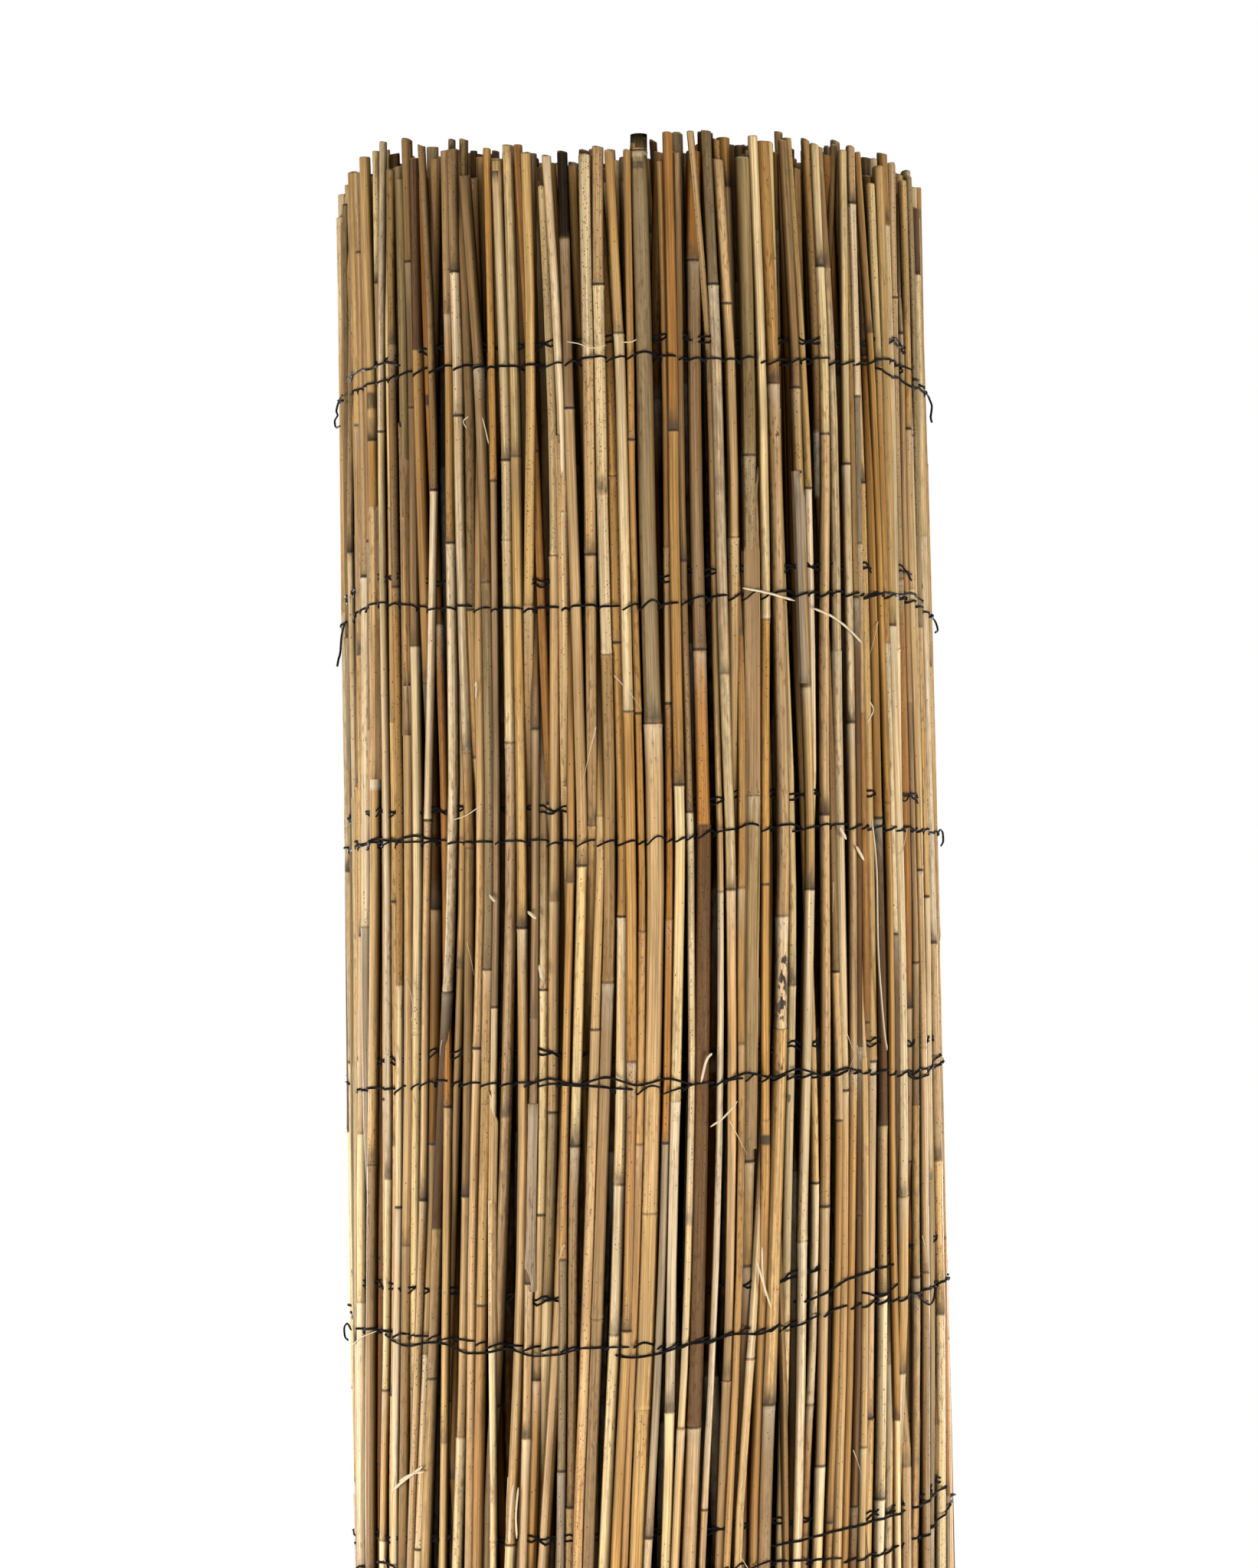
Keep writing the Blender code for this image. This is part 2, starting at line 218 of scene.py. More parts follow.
# Loose straws, torn strips and threads on the front: steps of bearing, millimetres out and height, then width
# in millimetres
SEEN_STRAWS = (
    (((18.5, 1.2, 1.605), (23.5, 1.0, 1.603), (29.0, 0.6, 1.600)), 1.0),
    (((33.0, 0.8, 1.597), (37.0, 1.0, 1.594), (41.0, 1.2, 1.589), (44.5, 1.6, 1.583)), 1.0),
    (((10.5, 1.0, 1.385), (13.0, 1.6, 1.389), (15.5, 1.0, 1.395)), 0.8),
    (((11.0, 1.6, 1.415), (10.0, 1.2, 1.412), (9.0, 0.4, 1.403)), 1.1),
    (((46.5, 0.8, 1.559), (47.5, 1.2, 1.555), (46.0, 0.6, 1.550)), 0.7),
    (((46.5, 0.6, 1.510), (47.5, 0.8, 1.488), (47.5, 0.6, 1.454),
      (48.5, 0.8, 1.422), (49.0, 1.4, 1.412)), 0.9),
    (((38.0, 0.9, 1.506), (39.5, 0.8, 1.501)), 1.4),
    (((42.0, 0.9, 1.498), (44.0, 0.8, 1.492)), 1.4),
    (((-36.5, 1.6, 1.512), (-33.5, 1.4, 1.514), (-30.5, 0.8, 1.518)), 0.4),
    (((-49.5, 1.0, 1.447), (-47.5, 2.0, 1.440), (-47.0, 1.6, 1.433), (-48.0, 0.8, 1.428)), 0.4),
    (((-32.0, 1.2, 1.679), (-33.0, 1.6, 1.677), (-32.5, 1.0, 1.674)), 0.5),
    (((-29.0, 1.4, 1.678), (-28.5, 1.0, 1.673), (-28.0, 0.6, 1.667)), 0.5),
    (((-12.5, 0.8, 1.707), (-10.5, 1.2, 1.706), (-8.0, 1.2, 1.704), (-5.5, 0.8, 1.705)), 0.5),
    (((-2.5, 0.8, 1.706), (-1.0, 1.2, 1.706), (0.0, 1.0, 1.707)), 0.5),
    (((18.5, 1.2, 1.329), (19.5, 1.4, 1.321), (21.0, 1.0, 1.310)), 0.8),
    (((19.5, 1.4, 1.335), (19.5, 1.4, 1.324), (20.0, 1.6, 1.315)), 0.7),
    (((-26.0, 1.0, 1.239), (-26.5, 1.4, 1.227), (-27.0, 1.0, 1.215)), 1.0),
    (((-25.0, 1.2, 1.238), (-25.5, 1.4, 1.227), (-25.5, 1.0, 1.217)), 0.8),
    (((-55.5, 1.4, 1.229), (-51.5, 1.2, 1.235), (-46.5, 0.8, 1.242)), 1.3),
    (((-53.0, 1.6, 1.234), (-49.5, 1.4, 1.238), (-46.0, 0.8, 1.240)), 0.8),
    (((-79.5, 0.8, 1.282), (-68.5, 1.2, 1.290), (-61.0, 0.8, 1.295)), 0.4),
    (((-29.0, 1.2, 1.481), (-28.0, 0.8, 1.478)), 1.1),
    (((-21.5, 1.0, 1.474), (-20.0, 0.8, 1.471)), 1.4),
    (((-19.5, 1.0, 1.452), (-19.0, 1.2, 1.446)), 1.3),
    (((-31.5, 1.0, 1.567), (-31.0, 1.6, 1.569), (-31.5, 0.6, 1.562)), 0.6),
)

# Marks on the front canes: bearing, lowest and highest height, the mark's name and its strength
SEEN_MARKS = (
    (25.7, 1.4285, 1.4540, "mould", 1.0),
    (25.7, 1.4060, 1.4085, "mould", 0.8),
    (25.7, 1.3930, 1.3960, "mould", 0.8),
    (25.6, 1.6685, 1.6730, "mould", 0.9),
    (-60.5, 1.6890, 1.6950, "stain", 0.7),
    (-44.0, 1.6865, 1.6900, "stain", 0.8),
    (-30.6, 1.6830, 1.7000, "speck", 1.0),
    (-31.0, 1.3320, 1.3420, "speck", 1.0),
    (-13.5, 1.3200, 1.3450, "speck", 1.0),
    (-17.5, 1.3120, 1.3600, "speck", 0.9),
    (-7.0, 1.3350, 1.3450, "speck", 1.0),
    (0.0, 1.7880, 1.7900, "stain", 0.5),
    (3.0, 1.7780, 1.7800, "stain", 0.7),
    (20.0, 1.3770, 1.3800, "stain", 0.8),
    (30.0, 1.6600, 1.7000, "speck", 0.8),
    (-25.0, 1.6050, 1.6900, "speck", 0.7),
    (-62.0, 1.5270, 1.5310, "bloom", 0.9),
    (36.5, 1.6450, 1.6700, "bloom", 0.5),
)

# Painted shade by depth: how much darker a cane is by how deep it lies, millimetres under the mat's face,
# share of its colour
DEPTH_SHADE = (
    (0.0, 1.0),
    (1.2, 0.85),
    (2.5, 0.46),
    (4.0, 0.15),
    (6.0, 0.05),
    (9.0, 0.02),
    (20.0, 0.01),
    (90.0, 0.01),
)

# Painted shade round a cane's sides: how much darker it is by degrees from straight out of the roll, share of
# its colour
SIDE_SHADE = (
    (0.0, 1.0),
    (25.0, 1.0),
    (40.0, 0.90),
    (50.0, 0.67),
    (60.0, 0.38),
    (72.0, 0.17),
    (84.0, 0.07),
    (100.0, 0.04),
    (180.0, 0.03),
)

# Shadow on dry cane turns warm: how strongly it takes from red, green and blue
WARM_SHADE = np.array([1.0, 1.16, 1.50])

# How far apart the grains of two canes are taken from the same noise
GRAIN_SHIFT = np.array([0.37, 0.71, 1.3])

# The heights at which a cane's run and depth are held
LEVELS = np.linspace(0.0, 1.8, 37)


def at_heights(table: tuple[tuple[float, float], ...], heights: np.ndarray) -> np.ndarray:
    """The table's values at the given heights or bearings."""
    return np.interp(heights, [row[0] for row in table], [row[1] for row in table])


def eased(part: np.ndarray) -> np.ndarray:
    """Shares from 0 to 1, eased at both ends."""
    return part * part * (3.0 - 2.0 * part)


def drawn_width(chance: random.Random, spans_mm: tuple[tuple[float, float], ...]) -> float:
    """A width in millimetres from one of the spans."""
    return chance.choice([chance.uniform(*span) for span in spans_mm])


def smoothed(values: np.ndarray, times: int) -> np.ndarray:
    """Values along the last axis, averaged with their neighbours.

    Args:
        values: One row of values or several.
        times: How many passes are made.

    Returns:
        The averaged values, in a new array.
    """
    out = np.array(values, dtype=float)
    for _ in range(times):
        inner = (out[..., :-2] + 2.0 * out[..., 1:-1] + out[..., 2:]) / 4.0
        out[..., 1:-1] = inner
    return out


@dataclass(frozen=True)
class Spiral:
    """The plan of the wound mat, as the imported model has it."""

    axis: tuple[float, float] = (0.002486, 0.002487)
    radius: float = 0.1375
    bore_radius: float = 0.0375
    mat: float = 0.0080
    pitch: float = 0.0100
    free_edge: float = math.radians(120.0)
    height: float = 1.800
    narrowing: float = 0.024
    narrows_from: float = 1.15
    narrows_over: float = 0.65

    @property
    def wound_length(self) -> float:
        """The angle that the whole mat is wound through."""
        return 2.0 * math.pi * (self.radius - self.mat - self.bore_radius) / self.pitch

    def wound_at(self, bearing: float) -> float:
        """The wound angle on the outer turn at a bearing."""
        return math.radians(FRONT_ANGLE + bearing) - self.free_edge

    def bearing_at(self, wound: float) -> float:
        """The bearing of a wound angle, from -180 to 180 degrees."""
        return (math.degrees(self.free_edge + wound) - FRONT_ANGLE + 180.0) % 360.0 - 180.0

    def face(self, wound: np.ndarray, heights: np.ndarray) -> np.ndarray:
        """The radius of the mat's outer face.

        Args:
            wound: Angles wound inwards from the free edge.
            heights: Heights of the same points.

        Returns:
            The radius of the face at each point, a little less towards the top.
        """
        part = np.clip((heights - self.narrows_from) / self.narrows_over, 0.0, 1.0)
        return (self.radius - self.pitch * wound / (2.0 * math.pi)) * (1.0 - self.narrowing * eased(part))

    def points(self, wound: np.ndarray, depth: np.ndarray, heights: np.ndarray) -> np.ndarray:
        """Points at a depth under the mat's outer face.

        Args:
            wound: Angles wound inwards from the free edge.
            depth: Depths under the face, less than nothing outside it.
            heights: Heights above the floor.

        Returns:
            An array of points, one row each.
        """
        radius = self.face(wound, heights) - depth
        angle = self.free_edge + wound
        x = self.axis[0] + radius * np.cos(angle)
        y = self.axis[1] + radius * np.sin(angle)
        return np.stack([x, y, heights], axis=-1)


@dataclass
class Rings:
    """The rings of one tube, from its foot up."""

    centres: np.ndarray
    angles: np.ndarray
    radii: np.ndarray
    tones: np.ndarray
    marks: np.ndarray
    tilts: np.ndarray
    ends: np.ndarray
    seed: float
    oval: float = 0.0
    turn: float = 0.0
    # How far the bright side of the painted side shade is turned towards the front
    facing: float = 0.0


class TubeMesh:
    """Gathers tubes into one mesh, with their colours and marks as attributes."""

    # The stain mark holds real stains, and also painted shade deep in the hollows of the cut ends
    MARKS = ("stain", "bloom", "speck", "mould", "cut")

    def __init__(self, name: str) -> None:
        """Starts an empty mesh.

        Args:
            name: The name of the piece it becomes.
        """
        self.name = name
        self.points: list[np.ndarray] = []
        self.tones: list[np.ndarray] = []
        self.marks: list[np.ndarray] = []
        self.grain: list[np.ndarray] = []
        self.corners: list[np.ndarray] = []
        self.sizes: list[np.ndarray] = []
        self.count = 0

    def add_tube(self, rings: Rings, sides: int) -> None:
        """Adds a closed tube.

        Args:
            rings: The rings of the tube.
            sides: How many sides each ring has.
        """
        rows = len(rings.radii)
        around = np.arange(sides) * (2.0 * math.pi / sides) + rings.turn
        out = np.cos(around)[None, :]
        side = np.sin(around)[None, :]
        reach = rings.radii[:, None] * (1.0 + rings.oval * np.cos(2.0 * around + rings.seed)[None, :])
        cos = np.cos(rings.angles)[:, None]
        sin = np.sin(rings.angles)[:, None]
        x = rings.centres[:, 0:1] + reach * (out * cos - side * sin)
        y = rings.centres[:, 1:2] + reach * (out * sin + side * cos)
        z = rings.centres[:, 2:3] + rings.tilts[:, None] * np.cos(around + rings.seed * 3.0)[None, :]
        points = np.stack([x, y, z], axis=-1)
        local = np.stack([reach * out, reach * side, z], axis=-1) + GRAIN_SHIFT * rings.seed
        # Painted shade on the cane's sides, away from its bright side, weaker near its cut ends
        turned = np.degrees(np.abs((around - rings.facing + math.pi) % (2.0 * math.pi) - math.pi))
        dimmed = WARM_SHADE[None, None, :] * (1.0 - 0.5 * rings.ends[:, None, None])
        tones = rings.tones[:, None, :] * at_heights(SIDE_SHADE, turned)[None, :, None] ** dimmed
        marks = np.repeat(rings.marks[:, None, :], sides, axis=1)
        marks[:, :, 3] *= np.clip(1.25 - turned / 75.0, 0.0, 1.0)[None, :]
        self.add_loft(points, local, tones, marks)

    def add_loft(self, points: np.ndarray, grain: np.ndarray, tones: np.ndarray, marks: np.ndarray) -> None:
        """Adds a closed body through rings of points, which all run the same way round.

        Args:
            points: Rows of points, a ring each.
            grain: The place of each point in its cane's own grain.
            tones: The colour of each point.
            marks: The marks of each point.
        """
        rows, sides = points.shape[:2]
        self.points.append(points.reshape(-1, 3))
        self.grain.append(grain.reshape(-1, 3))
        self.tones.append(tones.reshape(-1, 3))
        self.marks.append(marks.reshape(-1, len(self.MARKS)))
        lower = (np.arange(rows - 1) * sides)[:, None] + np.arange(sides)[None, :]
        lower_next = (np.arange(rows - 1) * sides)[:, None] + (np.arange(sides)[None, :] + 1) % sides
        quads = np.stack([lower, lower_next, lower_next + sides, lower + sides], axis=-1).reshape(-1)
        top = (rows - 1) * sides + np.arange(sides)
        foot = np.arange(sides)[::-1]
        self.corners.append(np.concatenate([quads, top, foot]) + self.count)
        self.sizes.append(np.array([4] * ((rows - 1) * sides) + [sides, sides]))
        self.count += rows * sides

    def triangles(self) -> int:
        """How many triangles the mesh comes to."""
        return int(sum((sizes - 2).sum() for sizes in self.sizes))

    def build(self, material: bpy.types.Material) -> bpy.types.Object:
        """Makes the object.

        Args:
            material: The finish of every face.

        Returns:
            The new object, linked to the scene.
        """
        points = np.concatenate(self.points)
        corners = np.concatenate(self.corners)
        sizes = np.concatenate(self.sizes)
        starts = np.concatenate([[0], np.cumsum(sizes)[:-1]])
        mesh = bpy.data.meshes.new(self.name)
        mesh.vertices.add(len(points))
        mesh.vertices.foreach_set("co", points.astype(np.float32).ravel())
        mesh.loops.add(len(corners))
        mesh.loops.foreach_set("vertex_index", corners.astype(np.int32))
        mesh.polygons.add(len(sizes))
        mesh.polygons.foreach_set("loop_start", starts.astype(np.int32))
        mesh.update(calc_edges=True)
        mesh.validate()
        mesh.polygons.foreach_set("use_smooth", np.ones(len(mesh.polygons), dtype=bool))
        mesh.set_sharp_from_angle(angle=math.radians(55.0))
        tones = np.concatenate(self.tones)
        # The tone holds each point's colour with the painted shade of its depth and of the cane's sides
        colour = mesh.attributes.new("tone", "FLOAT_COLOR", "POINT")
        opaque = np.column_stack([tones, np.ones(len(tones))])
        colour.data.foreach_set("color", opaque.astype(np.float32).ravel())
        grain = mesh.attributes.new("grain", "FLOAT_VECTOR", "POINT")
        grain.data.foreach_set("vector", np.concatenate(self.grain).astype(np.float32).ravel())
        marks = np.concatenate(self.marks)
        for place, name in enumerate(self.MARKS):
            mark = mesh.attributes.new(name, "FLOAT", "POINT")
            mark.data.foreach_set("value", marks[:, place].astype(np.float32))
        mesh.materials.append(material)
        made = bpy.data.objects.new(self.name, mesh)
        bpy.context.scene.collection.objects.link(made)
        return made


def eased_over(values: np.ndarray, times: int) -> np.ndarray:
    """Values along a path, eased over their steps.

    Args:
        values: The values, one a step.
        times: How many times each is averaged with its neighbours.

    Returns:
        The eased values.
    """
    for _ in range(times):
        values = np.convolve(np.pad(values, 1, mode="edge"), (0.25, 0.5, 0.25), mode="valid")
    return values


@dataclass(eq=False)
class Cane:
    """One cane of the mat, with its run, its nodes and the look of each length between them."""

    radius: float
    wound: np.ndarray
    depth: np.ndarray
    foot: float
    top: float
    nodes: list[float]
    tones: list[Tone]
    detail: Detail
    sides: int
    seed: float
    butt_up: bool = False
    turn: int = 0
    set_back: float = 0.0
    fine_above: float = 0.0
    patches: list[tuple[float, float, int, float]] = field(default_factory=list)
    stiffness: np.ndarray = field(default_factory=lambda: np.ones(len(LEVELS)))

    TAPER = 0.08
    TAPER_LEVEL = 1.5
    NODE_BULGE = (1.0, 1.0, 1.01, 1.06, 1.10, 0.95, 1.08, 1.02, 1.0, 1.0)
    NODE_STAIN = (0.0, 0.0, 0.08, 0.25, 0.85, 0.85, 0.30, 0.10, 0.04, 0.0)
    NODE_SMUDGE = (0.0, 0.0, 0.0, 0.0, 0.0, 0.10, 0.45, 0.55, 0.34, 0.0)
    NODE_BLOOM = (0.08, 0.4, 0.6, 0.4, 0.0, 0.0, 0.0, 0.0, 0.0, 0.0)
    NODE_SPECK = (0.0, 0.0, 0.0, 0.0, 0.0, 0.0, 0.9, 1.0, 0.8, 0.25)

    def taper(self, heights: np.ndarray) -> np.ndarray:
        """The thickness at each height against the thickness at 1.5 m."""
        fall = self.TAPER * (heights - self.TAPER_LEVEL)
        return 1.0 + (fall if self.butt_up else -fall)

    def node_rings(self, chance: random.Random) -> list[tuple[float, float, tuple[float, ...]]]:
        """Heights, thickness factors and marks of the rings at every node.

        Args:
            chance: The source of the nodes' differences.

        Returns:
            One row for each ring, not in order.
        """
        rows = []
        for node in self.nodes:
            offsets = self.detail.value[0]
            if self.detail is Detail.FULL and node < self.fine_above:
                offsets = Detail.PLAIN.value[0]
            stain = chance.choice((0.5, 0.7, 0.9, 1.0))
            bloom = chance.choice((0.0, 0.0, 0.3, 0.7))
            speck = chance.choice((0.0, 0.0, 0.3, 0.6, 1.0))
            bulge = chance.uniform(0.4, 1.2)
            smudge = chance.choice((0.0, 0.3, 0.6, 0.9, 1.1))
            below = chance.random() < 0.4
            full = Detail.FULL.value[0]
            for offset in offsets:
                if not self.foot + 0.004 < node + offset * MM < self.top - 0.004:
                    continue
                grown = 1.0 + (np.interp(offset, full, self.NODE_BULGE) - 1.0) * bulge
                reach = -offset if below else offset
                stained = np.interp(offset, full, self.NODE_STAIN) * stain
                smudged = np.interp(offset, full, self.NODE_SMUDGE) * smudge
                marks = (
                    float(stained + smudged),
                    float(np.interp(offset, full, self.NODE_BLOOM)) * bloom,
                    float(np.interp(reach, full, self.NODE_SPECK)) * speck,
                    0.0,
                    0.0,
                )
                rows.append((node + offset * MM, float(grown), marks))
        return rows

    def rings(self, spiral: Spiral) -> Rings:
        """The rings of the cane, with its cut ends.

        Args:
            spiral: The plan of the mat.

        Returns:
            The rings from the foot up.
        """
        chance = random.Random(int(self.seed * 100000.0))
        rows = self.node_rings(chance)
        step = self.detail.value[1] * MM
        heights = np.arange(self.foot + step * 0.5, self.top - step * 0.4, step)
        taken = np.array([row[0] for row in rows]) if rows else np.array([-9.0])
        for height in heights:
            if np.abs(taken - height).min() > step * 0.3:
                rows.append((float(height), 1.0, (0.0,) * 5))
        for low, high, _, _ in self.patches:
            rows.extend((height, 1.0, (0.0,) * 5) for height in (low - 2.0 * MM, low, high, high + 2.0 * MM))
        rows.sort(key=lambda row: row[0])
        weathered = chance.choice((0.0, 0.0, 0.25, 0.5))
        rows = self.cut_end(self.foot, 1.0, 0.0)[::-1] + rows + self.cut_end(self.top, -1.0, weathered)
        z = np.array([row[0] for row in rows])
        grown = np.array([row[1] for row in rows])
        marks = np.array([row[2] for row in rows])
        for low, high, place, strength in self.patches:
            laid = np.interp(z, [low - 2.0 * MM, low, high, high + 2.0 * MM], [0.0, strength, strength, 0.0])
            marks[:, place] = np.maximum(marks[:, place], laid)
        self.weather(z, marks)
        clipped = np.clip(z, 0.0, spiral.height)
        wound = np.interp(clipped, LEVELS, self.wound)
        depth = np.interp(clipped, LEVELS, self.depth)
        thickness = [chance.choice((0.95, 0.98, 1.0, 1.03, 1.06)) for _ in range(len(self.nodes) + 1)]
        grown = grown * np.array(thickness)[np.searchsorted(sorted(self.nodes), z)]
        bends = np.array([self.foot] + sorted(self.nodes) + [self.top])
        sideways = [chance.choice((0.3, 0.5, 0.9)) * chance.uniform(-1.0, 1.0) * MM for _ in bends]
        bend = chance.uniform(-0.45, 0.45) * MM
        bow = bend * np.sin(z * chance.uniform(14.0, 26.0) + chance.uniform(0.0, 6.28))
        steady = 0.6 if self.detail is Detail.FULL else 1.0
        wound = wound + (np.interp(z, bends, sideways) + bow) * steady / spiral.radius
        centres = spiral.points(wound, depth, z)
        # Painted shade: the deeper a cane lies under the mat's face, the darker its colour, less so near its
        # cut ends
        outside = depth - self.radius - self.set_back + spiral.pitch * self.turn
        near_end = np.exp(-np.maximum(np.minimum(self.top - z, z - self.foot), 0.0) / 0.030)
        depth_shade = at_heights(DEPTH_SHADE, outside * 1000.0)
        depth_shade = depth_shade + (1.0 - depth_shade) * 0.88 * near_end
        tilts = np.where(marks[:, 4] > 0.0, chance.uniform(0.0, 0.9) * MM, 0.0)
        return Rings(
            centres=centres,
            angles=spiral.free_edge + wound,
            radii=self.radius * self.taper(z) * grown,
            tones=self.ring_tones(z, chance) * depth_shade[:, None] ** WARM_SHADE,
            marks=marks,
            tilts=tilts,
            seed=self.seed,
            oval=chance.uniform(0.0, 0.05),
            turn=chance.uniform(0.0, 1.0),
            facing=self.facing(spiral),
            ends=near_end,
        )

    def weather(self, heights: np.ndarray, marks: np.ndarray) -> None:
        """Adds long freckled and mottled stretches to the marks of the rings.

        Args:
            heights: Heights of the rings.
            marks: Their marks, which are changed in place.
        """
        chance = random.Random(int(self.seed * 100000.0) + 1)
        mottled = chance.choice((0.0, 0.22, 0.34, 0.46))
        freckled = chance.choice((0.0, 0.0, 0.5, 0.9))
        for place, strength, rate in ((0, mottled, 6.0), (2, freckled, 9.0)):
            waves = np.clip(1.3 * np.sin(heights * rate + chance.uniform(0.0, 6.28)), 0.0, 1.0)
            marks[:, place] = np.maximum(marks[:, place], strength * waves)

    def facing(self, spiral: Spiral) -> float:
        """How far the side that the painted side shade leaves bright is turned from straight outwards to the
        roll's front, as if lit from there.
        """
        bearing = spiral.bearing_at(float(self.wound.mean()))
        return -math.radians(bearing) * float(np.interp(abs(bearing), [0.0, 80.0, 125.0], [0.58, 0.58, 0.0]))

    def cut_end(
        self, height: float, inwards: float, weathered: float
    ) -> list[tuple[float, float, tuple[float, ...]]]:
        """The rings of a hollow cut end, from the wall to the bottom of the hollow.

        Args:
            height: Height of the end.
            inwards: 1 where the cane lies above the end, -1 where it lies below.
            weathered: How dark the last stretch is.

        Returns:
            The rows of the rings, the outer wall first.
        """
        worn = weathered * 0.6
        rows = [
            (height + inwards * 14.0 * MM, 1.0, (worn * 0.3, 0.0, 0.0, 0.0, 0.0)),
            (height + inwards * 0.5 * MM, 1.0, (worn, 0.0, 0.0, 0.0, 0.0)),
            (height, 0.93, (worn, 0.0, 0.0, 0.0, 1.0)),
            (height + inwards * 0.1 * MM, 0.60, (0.0, 0.0, 0.0, 0.0, 1.0)),
        ]
        # Deep in the hollow the stain mark paints shade, darker the deeper it goes
        if self.detail is not Detail.ENDS:
            rows.append((height + inwards * 2.5 * MM, 0.55, (0.9, 0.0, 0.0, 0.0, 0.6)))
        rows.append((height + inwards * 7.0 * MM, 0.50, (1.0, 0.0, 0.0, 0.0, 0.2)))
        return rows

    def ring_tones(self, heights: np.ndarray, chance: random.Random) -> np.ndarray:
        """The colour of each ring, which changes at the nodes.

        Args:
            heights: Heights of the rings.
            chance: The source of the lengths' differences.

        Returns:
            One linear colour for each ring.
        """
        colours = np.zeros((len(heights), 3))
        edges = [self.foot] + sorted(self.nodes) + [self.top]
        for place, tone in enumerate(self.tones[::-1]):
            low, high = edges[place], edges[min(place + 1, len(edges) - 1)]
            value = chance.uniform(0.86, 1.10)
            warm = chance.uniform(-0.05, 0.11)
            lean = chance.uniform(-0.12, 0.20)
            base = np.array(tone.value) * value * np.array([1.0 + warm * 0.3, 1.0, 1.0 - warm * 1.8])
            inside = (heights >= low - 1e-6) & (heights <= high + 1e-6)
            part = (heights[inside] - low) / max(high - low, 1e-6) - 0.5
            colours[inside] = base[None, :] * (1.0 + lean * part)[:, None]
        return colours


def nearest_cane(canes: list[Cane], wound: float, height: float) -> Cane:
    """The cane that stands out nearest to a place.

    Args:
        canes: The canes to choose from.
        wound: The wound angle of the place.
        height: Its height.

    Returns:
        The nearest cane, where one that lies deep counts as farther off.
    """
    return min(
        canes,
        key=lambda cane: abs(float(np.interp(height, LEVELS, cane.wound)) - wound) * 130.0
        + float(np.interp(height, LEVELS, cane.depth)) * 100.0,
    )


